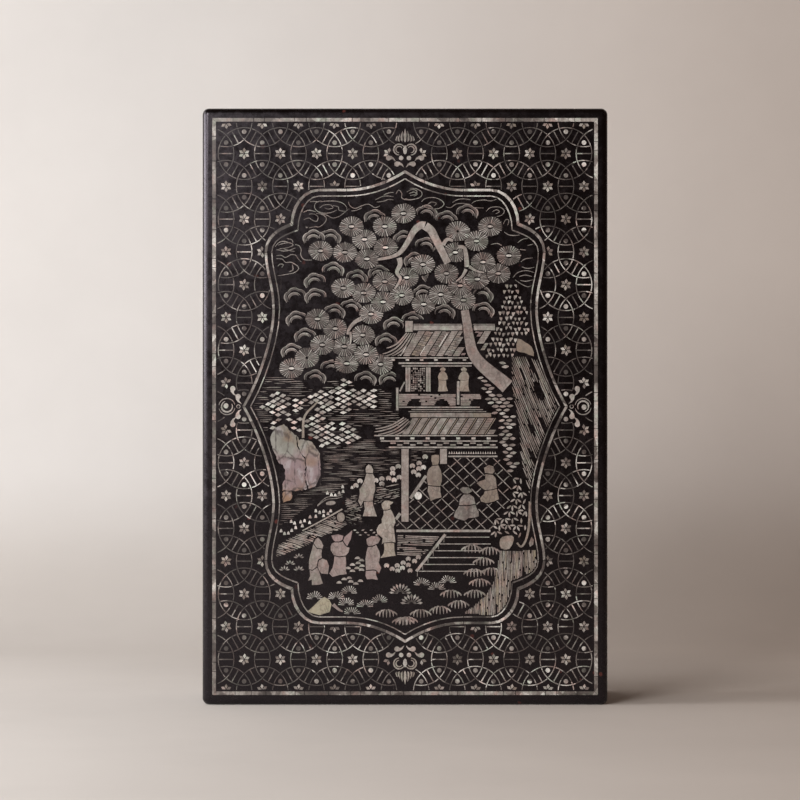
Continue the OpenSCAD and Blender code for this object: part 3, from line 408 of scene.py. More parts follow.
class Inlay:
    """Shell pieces of one kind, laid out flat and then given their thickness.

    Each lies at a slightly different depth from the one before, so that overlapping faces don't share
    a plane."""

    def __init__(self):
        self.bm = bmesh.new()
        self.count = 0
        self.tone = self.bm.faces.layers.float.new("tone")
        self.blush = self.bm.faces.layers.float.new("blush")

    def plate(self, outline, tone=0.6, blush=0.0):
        self.count += 1
        y = FACE_Y + LAYER * (self.count % LAYERS)
        verts = [self.bm.verts.new((u * MM, y, MIDDLE_Z + v * MM)) for u, v in outline]
        face = self.bm.faces.new(verts)
        face[self.tone] = tone
        face[self.blush] = blush

    def strip(self, path, w0, w1, tone, blush=0.0):
        self.plate(ribbon(path, (w0, w1)), tone, blush)

    def lay(self, name, finish, *nodes):
        made = bmesh.ops.extrude_face_region(self.bm, geom=self.bm.faces[:])["geom"]
        front = [v for v in made if isinstance(v, bmesh.types.BMVert)]
        bmesh.ops.translate(self.bm, verts=front, vec=(0, -SHELL, 0))
        bmesh.ops.recalc_face_normals(self.bm, faces=self.bm.faces[:])
        return piece(name, self.bm, finish, "lid", "pearl_picture", *nodes)


def along(a, b, t):
    return (a[0] + (b[0] - a[0]) * t, a[1] + (b[1] - a[1]) * t)


def apart(a, b):
    return math.hypot(b[0] - a[0], b[1] - a[1])


def polar(c, r, degrees, squash=1.0):
    a = math.radians(degrees)
    return (c[0] + r * math.cos(a), c[1] + r * squash * math.sin(a))


def tapered(path):
    """Outline of a band along points that carry their own width."""
    left, right = [], []
    last = len(path) - 1
    for i, (u, v, w) in enumerate(path):
        a, b = path[max(i - 1, 0)], path[min(i + 1, last)]
        d = 2 * (apart(a, b) or 1)
        left.append((u - (b[1] - a[1]) / d * w, v + (b[0] - a[0]) / d * w))
        right.append((u + (b[1] - a[1]) / d * w, v - (b[0] - a[0]) / d * w))
    return left + right[::-1]


def graded(widths, t):
    """The width at a part t of the way, from widths at a few evenly spaced stations."""
    last = len(widths) - 1
    f = t * last
    k = min(int(f), last - 1)
    return widths[k] + (widths[k + 1] - widths[k]) * (f - k)


def ribbon(path, widths):
    """Outline of a band with its own width at each of a few evenly spaced stations."""
    return tapered([(u, v, graded(widths, i / (len(path) - 1))) for i, (u, v) in enumerate(path)])


def curve(points, steps=4, closed=False):
    """A smooth path through the points."""
    n = len(points)
    out = []
    for i in range(n if closed else n - 1):
        around = [(i + k) % n if closed else min(max(i + k, 0), n - 1) for k in (-1, 0, 1, 2)]
        p = [points[k] for k in around]
        for s in range(steps):
            t = s / steps
            out.append(tuple(
                0.5 * (2 * p[1][k] + (p[2][k] - p[0][k]) * t
                       + (2 * p[0][k] - 5 * p[1][k] + 4 * p[2][k] - p[3][k]) * t * t
                       + (3 * p[1][k] - p[0][k] - 3 * p[2][k] + p[3][k]) * t ** 3)
                for k in (0, 1)))
    return out if closed else out + [points[-1]]


def turned(c, shape, turn):
    """A shape about its own middle, turned by some degrees and moved to c."""
    s, k = math.sin(math.radians(turn)), math.cos(math.radians(turn))
    return [(c[0] + x * k - y * s, c[1] + x * s + y * k) for x, y in shape]


def oval(c, ru, rv, n, turn=0):
    steps = [2 * math.pi * i / n for i in range(n)]
    return turned(c, [(ru * math.cos(a), rv * math.sin(a)) for a in steps], turn)


def lozenge(c, l, w, turn, belly=0.5):
    widest = l * (belly - 0.5)
    return turned(c, [(-l / 2, 0), (widest, w / 2), (l / 2, 0), (widest, -w / 2)], turn)


def leaf(c, l, w, turn):
    """A pointed leaf."""
    half = [(-0.5, 0), (-0.26, 0.36), (0.04, 0.5), (0.3, 0.34), (0.5, 0)]
    shape = half + [(x, -y) for x, y in half[3:0:-1]]
    return turned(c, [(l * x, w * y) for x, y in shape], turn)


def inside(p, outline):
    """Whether a point lies within an outline."""
    hit = False
    for i in range(len(outline)):
        a, b = outline[i - 1], outline[i]
        if (a[1] > p[1]) != (b[1] > p[1]):
            if p[0] < a[0] + (p[1] - a[1]) / (b[1] - a[1]) * (b[0] - a[0]):
                hit = not hit
    return hit


def in_oval(p, o, grow=0.0):
    """Whether a point lies within an oval, given as its middle and its two radii."""
    return ((p[0] - o[0]) / (o[2] + grow)) ** 2 + ((p[1] - o[1]) / (o[3] + grow)) ** 2 < 1


def runs(path, free):
    """Stretches of a path whose points are all free."""
    out, now = [], []
    for p in path:
        if free(p):
            now.append(p)
        else:
            out.append(now)
            now = []
    return [r for r in out + [now] if len(r) > 1]


def spaced(path, step):
    """The path with points at about even steps."""
    out = []
    for a, b in zip(path, path[1:]):
        n = max(1, int(apart(a, b) / step))
        out += [along(a, b, i / n) for i in range(n)]
    return out + [path[-1]]


# Frame outline, for keeping the picture inside it
FRAME_W, FRAME_L, SHOULDER = 99.5, 144.8, 133.4
FRAME_LINE, INNER_INSET, INNER_LINE = 1.5, 3.35, 0.65
PICTURE_INSET = INNER_INSET + INNER_LINE + 0.5


def frame_legs(d):
    """The curves of one quarter of the frame, moved inward by d."""
    tip = (0, FRAME_L - 1.2 * d)
    top = SHOULDER - d
    notch = (69.7 - d, 112.4 - d)
    lobe = (85.8 - d, 95)
    waist = (81 - d, 60)
    side = (FRAME_W - 1.15 * d, 0)
    return [
        [tip, (12, tip[1] - 7.6), (24, top), (36, top)],
        [(36, top), (42, top), (48, top), (53, top)],
        [(53, top), (53 + (notch[0] - 53) * 0.6, top), (notch[0], (notch[1] + top) / 2), notch],
        [notch, (notch[0] + 7, notch[1] - 2.6), (lobe[0], 95 + (notch[1] - 95) * 0.6), lobe],
        [lobe, (lobe[0], 84), (waist[0], 74), waist],
        [waist, (waist[0], 42), (side[0] - 9.5, side[1] + 16.3), side],
    ]


def bezier(p, t):
    w = ((1 - t) ** 3, 3 * t * (1 - t) ** 2, 3 * t * t * (1 - t), t ** 3)
    return tuple(sum(w[i] * p[i][k] for i in range(4)) for k in (0, 1))


def frame_outline(d):
    legs = frame_legs(d)
    quarter = [bezier(leg, i / 8) for leg in legs for i in range(8)] + [legs[-1][-1]]
    right = quarter + [(u, -v) for u, v in quarter[-2::-1]]
    return right + [(-u, v) for u, v in right[-2:0:-1]]


PICTURE = frame_outline(PICTURE_INSET)
FIELD = frame_outline(-FRAME_LINE / 2 - 0.35)


def in_picture(p):
    return inside(p, PICTURE)


# Diaper florets: six lozenge petals about each point of the net
FIELD_U, FIELD_V = 116.6, 175.6
NET_U, NET_V, ROW_START, COLUMN_EDGE = 22.3, 20.2, 14.5, 6.3
NET_ROWS, NET_COLUMNS, PETALS = 9, 7, 6
TIP_V = FRAME_L + FRAME_LINE / 2
TIP_U = FRAME_W + FRAME_LINE / 2
END_PART = (FIELD_V - TIP_V) / 30
SIDE_PART = (FIELD_U - TIP_U) / 16
LOTUS_OVALS = [
    (0, TIP_V + 21.5 * END_PART, 6.2 * END_PART, 6.4 * END_PART),
    (0, TIP_V + 12.8 * END_PART, 8.4 * END_PART, 4.9 * END_PART),
    (0, TIP_V + 6.2 * END_PART, 12.8 * END_PART, 4.4 * END_PART),
    (TIP_U + 9.3 * SIDE_PART, 0, 6 * SIDE_PART, 6.2 * SIDE_PART),
    (TIP_U + 3.6 * SIDE_PART, 0, 4.2 * SIDE_PART, 8.6 * SIDE_PART),
    (TIP_U + 6.3 * SIDE_PART, 9.2 * SIDE_PART, 2.8 * SIDE_PART, 4 * SIDE_PART),
]


def in_field(p):
    return (0.2 < p[0] < FIELD_U - 0.5 and 0.2 < p[1] < FIELD_V - 0.3
            and not inside(p, FIELD) and not any(in_oval(p, o) for o in LOTUS_OVALS))


def florets():
    """Florets of one quarter of the diaper, mirrored into the other three."""
    shells = Inlay()
    draw = random.Random(5)
    for k in range(NET_ROWS):
        for j in range(NET_COLUMNS):
            c = (FIELD_U - COLUMN_EDGE - (k % 2) * NET_U / 2 - j * NET_U,
                 min(ROW_START + k * NET_V, FIELD_V - 1))
            for su in (1, -1):
                for sv in (1, -1):
                    tone = draw.uniform(0.4, 0.82)
                    lean = draw.uniform(-9, 9)
                    for i in range(PETALS):
                        a = 90 + 360 / PETALS * i + lean
                        petal = lozenge(polar(c, 2.0, a), 3.2, 1.95, a, 0.55)
                        if all(in_field(p) for p in petal):
                            shells.plate([(su * u, sv * v) for u, v in petal],
                                         tone + draw.uniform(-0.42, 0.16), draw.uniform(-0.3, 0.25))
    obj = shells.lay("floret_petals", PICTURE_PEARL, "diaper_florets")


florets()


# Pine
HEADS = [
    (-33, 111), (-52, 96), (-37, 95), (-25, 103), (-12.5, 111), (-1, 119), (-12, 98), (-23.5, 91),
    (-38, 73), (-25.5, 70), (-12.5, 77), (-13.5, 64.5), (-2, 68.5), (-21, 57), (-54, 54),
    (32.5, 108), (44, 102), (52.5, 111), (31, 95), (11, 87.5), (48, 89), (64, 93), (25.5, 82),
    (57.5, 82), (44.5, 78.5), (1, 79.5), (34, 74.5), (22, 69), (36, 65.5), (11.5, 63),
    (-43, 48), (-26, 44), (-51, 38), (-37.5, 37), (-24, 32), (-60.5, 30), (-36, 26.5), (-15, 26),
    (-70, 23.5),
]
HEAD_U, HEAD_V, NEEDLES = 7.4, 6.1, 56
NEEDLE_STEP = 0.04
SHORTEST_NEEDLE = 0.16
WOOD_GAP = 0.7
BOUGHS = [
    ([(-17, 90.6), (-8, 92.4), (-2.4, 95.6), (2.2, 102.4), (5.6, 108.4), (9.6, 111.6), (12.2, 111.4)],
     1.4, 5.2),
    ([(12.6, 111.2), (16, 108.6), (19, 103), (22.4, 96.4), (26.4, 88.4)], 5.2, 4.2),
    ([(-3.6, 91.6), (-3, 87.6), (-5, 82.6), (-2.8, 78.6), (-6.4, 72.4)], 3.4, 1.2),
    ([(23.4, 99.6), (26, 103), (29.6, 102.2)], 2.6, 1.6),
    ([(32.8, 98.4), (36.4, 97.8), (37.6, 93), (38.2, 86)], 2.0, 3.0),
    ([(39.6, 86.2), (44, 83.6), (48.6, 82.6)], 2.0, 0.8),
    ([(37.6, 84.6), (35.4, 80.4), (31.4, 77)], 2.2, 0.8),
    ([(-26.6, 54.4), (-31, 52), (-34.6, 47.6), (-35.4, 44.4)], 2.6, 1.4),
    ([(-33.8, 46), (-33.4, 42), (-33.8, 38.6)], 1.6, 0.9),
]
TRUNK = [(36.8, 59.4), (38.4, 50), (39.8, 41), (41.6, 33.6), (46, 27), (52.4, 21.2), (58.4, 16.4),
         (63.2, 12.2)]
TRUNK_ENDS = (4.8, 9.2)
TRUNK_OUTLINE = ribbon(curve(TRUNK), [w + WOOD_GAP for w in TRUNK_ENDS])
BOUGH_OUTLINES = [ribbon(curve(path), (w0 + WOOD_GAP, w1 + WOOD_GAP)) for path, w0, w1 in BOUGHS]


def on_wood(p):
    return inside(p, TRUNK_OUTLINE) or any(inside(p, o) for o in BOUGH_OUTLINES)


def in_heads(p, grow=0.35):
    return any(in_oval(p, (*h, HEAD_U, HEAD_V), grow) for h in HEADS)


def pine():
    """Trunk and boughs, and heads of needles with a dark one after each light one."""
    wood = Inlay()
    for path, w0, w1 in BOUGHS:
        wood.strip(curve(path), w0, w1, 0.56, 0.12)
    wood.strip(curve(TRUNK), *TRUNK_ENDS, 0.43, 0.22)
    wood.lay("pine_wood", ROBE_PEARL, "pine_boughs")

    shells = Inlay()
    draw = random.Random(11)
    for index, c in enumerate(HEADS):
        over = [(*h, HEAD_U, HEAD_V) for h in HEADS[:index] if apart(h, c) < 2.2 * HEAD_U]
        whole = draw.uniform(0.4, 0.58)
        eye = draw.random() < 0.85
        for i in range(NEEDLES):
            a = 360 * (i + 0.25 * draw.random()) / NEEDLES
            d = (HEAD_U * math.cos(math.radians(a)), HEAD_V * math.sin(math.radians(a)))

            def at(t):
                return (c[0] + d[0] * t, c[1] + d[1] * t)

            root = draw.uniform(0.25, 0.3) if eye else draw.uniform(0.1, 0.16)
            tip = draw.uniform(0.94, 1.02)
            t = root
            while t < tip:
                p = at(t + NEEDLE_STEP)
                if on_wood(p) or not in_picture(p) or any(in_oval(p, o, 0.15) for o in over):
                    break
                t += NEEDLE_STEP
            if t > root + SHORTEST_NEEDLE:
                path = [at(root), at(t)]
                if i % 2:
                    shells.strip(path, 0.1, 0.62, -0.22)
                else:
                    shells.strip(path, 0.2 if eye else 0.1, 0.52, whole + draw.uniform(-0.2, 0.36))
        if eye and not on_wood(c) and not any(in_oval(c, o, 1.2) for o in over):
            shells.plate(oval(c, 1.8, 0.75, 10), draw.uniform(0.55, 0.95))
    shells.lay("pine_needles", PICTURE_PEARL, "pine_heads")


pine()


# Clouds
CRESCENTS = [
    (-56.2, 102.7, -4), (-46.4, 103, 14), (-18.6, 115.2, 4), (-0.5, 102.2, -6), (-44.5, 82.8, 6),
    (-55.4, 76, -14), (-29.9, 78.1, 14), (-16, 80.8, 2), (-67.6, 67, -14), (-55, 66.6, -14),
    (-43.8, 56.9, 10), (-33.5, 59.8, 14), (-66.5, 52.6, -14), (-61.4, 42.1, -5), (-69.6, 32.6, -6),
    (-45.7, 22.5, 14), (-55.6, 16.4, 6), (-24.6, 15.5, 10), (-9.3, 15.1, 2), (-6.7, 48.9, 2),
    (-11.7, 39, 2), (4.6, 52.2, 8), (11.3, 68.7, -8), (6.2, 88.8, -8), (13, 118, 8), (25.4, 114.4, 10),
    (38.2, 118.4, 6), (12.6, 98, 14), (17.4, 80.6, -24), (47.4, 67.6, 20), (48, 58, 16), (24, 56.6, 8),
]
ROOF_ZONE = [(-15.6, 30), (-8, 35.6), (-1, 43), (-0.8, 54), (57, 52), (57, 26), (-4, 24), (-15, 30)]
STOREY_ZONE = [(-4.6, 28), (46, 28), (46, 8), (-1, 8), (-7, -3), (-6, 12)]
HORN = (0.3, 0.7, 0.6, 0.4, 0.55, 0.6, 0.4, 0.5, 0.5, 0.2)
HORN_SHADE = (0.4, 1.3, 1.3, 0.8, 1.1, 1.1, 0.7, 0.9, 0.8, 0.3)
MOON = (0.15, 0.45, 0.5, 0.4, 0.15)
MOON_SHADE = (0.2, 1.0, 1.3, 1.0, 0.2)
CLOUD_SQUASH = 0.9


def horn_radius(a):
    """Three scallops along the outer horn."""
    return 6.1 + 0.8 * abs(math.cos(math.radians((a - 90) * 180 / 66)))


def horn(c, lean, radius, a0, a1, widths):
    """Points of a crescent from its thick end to its thin one, each with its width."""
    out = []
    for i in range(31):
        t = i / 30
        a = a0 + (a1 - a0) * t
        out.append((*polar(c, radius(a), a - lean, CLOUD_SQUASH), graded(widths, t)))
    return out


def clouds():
    """Crescents: a scalloped horn and a moon in it, each with a darker shell inside its edge."""
    shells = Inlay()
    draw = random.Random(23)
    for u, v, lean in CRESCENTS:
        tone = draw.uniform(0.42, 0.58)

        def free(p):
            return (in_picture(p) and not in_heads(p) and not on_wood(p)
                    and not inside(p, ROOF_ZONE) and not inside(p, STOREY_ZONE)
                    and not any(in_oval(p, (o[0], o[1] + 0.6, 6.6, 6.2)) for o in CRESCENTS
                                if o[1] < v - 1 and apart(o, (u, v)) < 14))

        way = 1 if lean < 6 else -1
        ends = (90 + way * 108, 90 - way * 96)
        moon_ends = (90 + way * 88, 90 - way * 72)
        moon = (u - 0.4 * way, v - 0.5)
        for line, lift in (
                (horn((u, v), lean, horn_radius, *ends, HORN), 0.0),
                (horn((u, v), lean, lambda a: horn_radius(a) - 0.95, *ends, HORN_SHADE), -0.42),
                (horn(moon, lean, lambda a: 4.1, *moon_ends, MOON), 0.08),
                (horn(moon, lean, lambda a: 3.2, *moon_ends, MOON_SHADE), -0.28)):
            for run in runs(line, free):
                if len(run) > 4:
                    shells.plate(tapered(run), tone + lift + draw.uniform(-0.04, 0.04))
    shells.lay("crescent_shells", PICTURE_PEARL, "cloud_crescents")


clouds()


# Cloud scrolls in the lobes, one curling line after another
SCROLLS = [
    [(-51.6, 126.9), (-55, 125.5), (-55.7, 122.4), (-53, 119.7), (-48.2, 117.9), (-44.7, 116.2),
     (-40.6, 117.2), (-37.2, 119.7), (-34.8, 121.7)],
    [(-52.6, 122.4), (-50.2, 124.1), (-46.1, 124.3), (-44.4, 122.4), (-47.5, 121.7), (-49.5, 122.4)],
    [(-44.4, 123.8), (-41.3, 123.1), (-40.6, 121), (-37.2, 120.3)],
    [(-62.6, 119.7), (-59.2, 121), (-55, 120)],
    [(-55, 119), (-50.9, 118.3), (-48.5, 115.9), (-49.9, 112.8), (-53, 110.7), (-55.7, 111.1)],
    [(-62.3, 115.2), (-59.2, 116.2), (-57.1, 114.8), (-54.4, 114.2), (-53.7, 116.9), (-56.1, 118.6),
     (-59.2, 118.6)],
    [(-61.2, 110.7), (-58.5, 110)],
    [(-80.1, 98.4), (-77.7, 101.1), (-74.3, 101.8), (-70.2, 100.4)],
    [(-79.1, 96.3), (-75.7, 97.4), (-72.2, 96.3), (-68.1, 95.6)],
    [(-72.9, 103.5), (-69.8, 102.8), (-69.1, 101.1)],
    [(-67.8, 99.8), (-65.4, 99.1), (-64, 96.7), (-64.3, 93.6), (-62.6, 90.8), (-59.2, 90.2),
     (-55.7, 90.2), (-54.4, 88.1)],
    [(-79.4, 92.9), (-76.4, 93.2), (-73.6, 91.9), (-70.2, 93.6), (-67.4, 93.2), (-66, 91.2),
     (-64, 89.1)],
    [(-79.4, 91.2), (-75.7, 90.8), (-73.6, 88.8), (-70.2, 88.9), (-66.4, 86.7), (-65.7, 84.7),
     (-68.1, 82.6), (-72.2, 81.6), (-78.4, 80.6)],
    [(-78.4, 86.4), (-77, 87.8), (-75, 87.4), (-76, 85.7)],
    [(-69.5, 87.4), (-69.1, 84.3), (-71.5, 83)],
    [(-35, 126.2), (-33.9, 123.7), (-30.8, 122.1), (-26.7, 123.7), (-22.6, 124.7), (-18.5, 122.6),
     (-15.4, 123.7)],
    [(-18.5, 127.3), (-14.3, 129.3), (-11.2, 129.8), (-7.1, 129.3)],
    [(-17.4, 126), (-13.3, 126.5), (-10.2, 127.6), (-7.1, 127.3)],
    [(-13.3, 130.3), (-10.2, 131.6), (-7.1, 132)],
    [(-5.6, 130.9), (-4, 133.4), (-2, 131.4), (-1.8, 128.3), (3.2, 127.3), (8.4, 128.3)],
    [(1.1, 132.2), (4.2, 133.8), (7.3, 132.8), (6.3, 130.8), (3.2, 130.1)],
    [(2.9, 134.5), (6.5, 134.3), (10.1, 132.4), (10.1, 129.8), (7, 128), (2.4, 127.6), (0.3, 128.3)],
    [(2.4, 131.2), (5.5, 132.2), (7.5, 130.9), (5.5, 129.6)],
    [(10.1, 126.2), (12.7, 128.3), (17.8, 128.8), (22, 127.3), (24, 124.7), (20.9, 122.1),
     (14.7, 122.1), (10.8, 124)],
    [(13.7, 124.4), (16.3, 126), (19.4, 125.2), (17.8, 123.6)],
    [(25.1, 123.1), (28.2, 122.6), (31.2, 124.7), (35.4, 125.2), (39.5, 124.4), (42.6, 122.6),
     (48.3, 122.4)],
    [(29.2, 125.7), (32.3, 127.5), (36.4, 128), (40.5, 127.3)],
    [(41, 125), (43.6, 126.7), (48.8, 127.3), (52.9, 126.7), (57, 128)],
    [(50, 120.3), (52.9, 122.7), (58.1, 122.9), (61.2, 120.6), (59.1, 117.7), (53.9, 117),
     (50.6, 118.5)],
    [(53.9, 120.1), (56.5, 121.3), (58.1, 120), (56, 118.8)],
    [(59.1, 124.7), (62.2, 123.4), (64, 120.1), (64.8, 115.9)],
    [(60.3, 111.8), (62, 115.1), (64, 114.7), (63.2, 111.6)],
    [(61.2, 107.5), (64.3, 105.7), (69.4, 105.5), (73.5, 107), (77.7, 106.5)],
    [(52.9, 99.8), (57, 100.5), (61.2, 98.5), (65.3, 99.3), (69.4, 97.2), (74.6, 96.4)],
    [(69.4, 101), (73.5, 103.4), (78.7, 102.8), (79.7, 100.5), (75.6, 99.3)],
    [(71.5, 89.2), (74.1, 91), (78.7, 91.6)],
    [(72, 86.1), (75.6, 85.1), (79.7, 85.9)],
    [(66.5, 79.4), (69.4, 82.5), (74.6, 83.8), (79.7, 82.5)],
    [(67.8, 78.1), (71.5, 75.6), (75.6, 73.8), (78.5, 74.8)],
    [(70.4, 80.1), (74.1, 81), (78.2, 80.1)],
    [(71, 77.7), (74.6, 77.2), (78.7, 78.1)],
    [(-62.3, 124), (-59.7, 125.9), (-56.1, 126.4), (-53.3, 126)],
    [(-52.5, 126.1), (-48.4, 126.6), (-43.2, 126.6), (-38.6, 125.4), (-36.2, 123.1), (-35.8, 121.3)],
    [(-53.3, 120.1), (-49.4, 119.1), (-44.8, 119.8), (-42, 121.1)],
    [(-61.2, 110.1), (-57.9, 110.4), (-54.4, 111)],
    [(-33.1, 120.5), (-29.8, 121), (-26.5, 122.5)],
    [(-78.1, 99.5), (-75, 100.5), (-71.1, 100.9), (-69, 99.5), (-72.1, 98), (-76, 97.4)],
    [(-79.1, 96.7), (-75, 95.8), (-71.1, 96.4), (-67.5, 97.8)],
]


SCROLL_WIDTHS = (0.26, 0.46, 0.5, 0.42, 0.26)


def scrolls():
    shells = Inlay()
    draw = random.Random(31)

    def free(p):
        return in_picture(p) and not in_heads(p, 0.7) and not on_wood(p)

    for line in SCROLLS:
        tone = draw.uniform(0.34, 0.5)
        for run in runs(spaced(curve(line), 0.6), free):
            if len(run) > 3:
                shells.plate(ribbon(run, SCROLL_WIDTHS), tone)
    shells.lay("scroll_shells", PICTURE_PEARL, "cloud_scrolls")


scrolls()


# Hatching
STROKE_STEP = 0.6
SWAY_STEP = 5


def broken(shells, path, draw, width, length, gap, free, tone, blush, fill, ends):
    """Lays a path as strokes of random length with narrowed ends."""
    points = spaced(path, STROKE_STEP)
    i = -int(draw.uniform(0, length[1]) / STROKE_STEP)
    while i < len(points):
        n = int(draw.uniform(*length) / STROKE_STEP)
        if draw.random() < fill:
            for run in runs(points[max(i, 0):max(i + n, 0)], free):
                if len(run) > 2:
                    w = width * draw.uniform(0.75, 1.1)
                    shells.plate(ribbon(run[:-1:4] + [run[-1]], (ends * w, w, w, ends * w)),
                                 draw.uniform(*tone), draw.uniform(*blush))
        i += n + int(gap * draw.uniform(0.6, 1.8) / STROKE_STEP) + 1


def anywhere(p):
    return True


def hatch(shells, zone, lean, pitch, width, seed, free, tone, length, gap, blush,
          fill=0.9, ends=0.7, wave=0.12):
    """Fine strokes side by side over a zone; lean is their direction and wave their sway in pitches."""
    draw = random.Random(seed)
    d = polar((0, 0), 1, lean)
    across = [p[1] * d[0] - p[0] * d[1] for p in zone]
    down = [p[0] * d[0] + p[1] * d[1] for p in zone]

    def open_here(p):
        return inside(p, zone) and in_picture(p) and free(p)

    for k in range(int((max(across) - min(across)) / pitch)):
        q = min(across) + (k + 0.5) * pitch
        path = []
        for i in range(int((max(down) - min(down)) / SWAY_STEP) + 2):
            t = min(down) + SWAY_STEP * i
            side = q + draw.uniform(-wave, wave) * pitch
            path.append((d[0] * t - d[1] * side, d[1] * t + d[0] * side))
        broken(shells, curve(path), draw, width, length, gap, open_here, tone, blush, fill, ends)


# Pavilion
def bar(shells, u, v, w, h, tone, blush=0.0):
    shells.plate([(u, v), (u + w, v), (u + w, v + h), (u, v + h)], tone, blush)


def off_trunk(p):
    return not inside(p, TRUNK_OUTLINE)


def level(shells, u0, u1, v, h, tone, free=off_trunk):
    """A level bar, broken where something stands before it."""
    for run in runs(spaced([(u0, v), (u1, v)], 0.5), free):
        if run[-1][0] - run[0][0] > 0.8:
            bar(shells, run[0][0], v, run[-1][0] - run[0][0], h, tone)


class Roof:
    """A roof slope: strips that lean as they run from the ridge to the eave."""

    def __init__(self, shells, ridge, eave, slope, free):
        self.shells, self.free = shells, free
        self.ridge, self.drop, self.slope = ridge, ridge - eave, slope

    def at(self, u, f):
        return (u - self.slope * self.drop * f, self.ridge - self.drop * f)

    def tile(self, u, w, f0, f1, tone, blush):
        corners = [self.at(u, f0), self.at(u + w, f0), self.at(u + w, f1), self.at(u, f1)]
        if all(self.free(p) for p in corners):
            self.shells.plate(corners, tone, blush)

    def strip(self, u, w, tone, blush, rows):
        for r in range(rows):
            self.tile(u, w, r / rows, (r + 0.9) / rows if rows > 1 else 1, tone, blush)

    def pan(self, u, w, draw, tone, blush):
        """Small tiles laid like bricks in two columns."""
        rows = int(self.drop / 1.5)
        for half in (0, 1):
            for r in range(rows):
                f0 = max((r + 0.5 * half - 0.25) / rows, 0.01)
                f1 = min((r + 0.5 * half + 0.6) / rows, 0.99)
                self.tile(u + half * w / 2 + 0.05, w / 2 - 0.1, f0, f1, tone + draw.uniform(-0.08, 0.08),
                          blush + draw.uniform(-0.2, 0.2))


EAVE_BENDS = ((0.4, 0.62), (0.75, 0.9))


def eaves(shells, starts, ends, tones):
    """Curved strips that sweep out to the roof's left tip."""
    for a, b, tone in zip(starts, ends, tones):
        bends = [(along(a, b, out)[0], along(a, b, down)[1]) for out, down in EAVE_BENDS]
        path = curve([a, *bends, b])
        shells.plate(ribbon(path, (0.75, 0.95, 0.8, 0.4)), tone, 0.15)


def roofs():
    """The upper roof and the lower one, with their ridges and eaves."""
    shells = Inlay()
    draw = random.Random(41)
    upper = Roof(shells, 46.4, 31.0, 0.62, lambda p: off_trunk(p) and p[0] < 49 + 0.34 * (p[1] - 31))
    for k in range(6):
        u = 8.2 + 10.2 * k
        upper.strip(u, 4.1, draw.uniform(0.42, 0.54), 0.15, 14)
        upper.pan(u + 4.7, 4.9, draw, draw.uniform(0.28, 0.4), draw.uniform(-0.35, 0.4))
    for u, f0, f1 in ((6.6, 0.62, 0.98), (18.2, 0.6, 0.94), (27.0, 0.1, 0.72)):
        shells.strip([upper.at(u, f0), upper.at(u, f1)], 0.5, 0.4, 1.0)
    level(shells, 5.2, 55.4, 47.0, 3.0, 0.56)
    level(shells, 5.2, 55.4, 50.4, 0.5, 0.46)
    bar(shells, 0.2, 46.0, 4.6, 6.7, 0.56, 0.1)
    eaves(shells, [(1.0, 45.4), (2.4, 45.4), (3.8, 45.2), (5.2, 45.2), (6.4, 45.2)],
          [(-11.4, 36), (-13.8, 32.4), (-11.6, 31.2), (-8.2, 31.2), (-4.6, 31.2)],
          (0.56, 0.5, 0.44, 0.4, 0.44))

    lower = Roof(shells, -7.2, -17.2, 0.64, lambda p: p[0] < 56.4)
    for k in range(10):
        u = 4.6 + 5.8 * k
        tone = 0.44 + 0.1 * math.sin(0.55 * k)
        lower.strip(u, 3.9, tone + draw.uniform(-0.05, 0.05), draw.uniform(-0.2, 0.2), 7 if k > 4 else 1)
        lower.strip(u + 4.5, 0.6, 0.26, -0.4, 1)
    for u0, u1, tone, blush in ((3.2, 14, 0.42, -0.25), (14.1, 31, 0.48, 0.0), (31.1, 42, 0.42, 0.1),
                                (42.1, 53, 0.32, -0.3)):
        bar(shells, u0, -6.6, u1 - u0, 2.6, tone, blush)
    eaves(shells, [(-0.6, -6.8), (0.8, -7.4), (2.0, -8.0), (2.8, -9.0), (3.4, -10.4)],
          [(-18.2, -13.8), (-18.8, -15.6), (-16.4, -17.2), (-11.4, -17.4), (-6.2, -17.4)],
          (0.5, 0.46, 0.42, 0.38, 0.42))
    shells.lay("roof_tiles", PICTURE_PEARL, "pavilion_roofs")


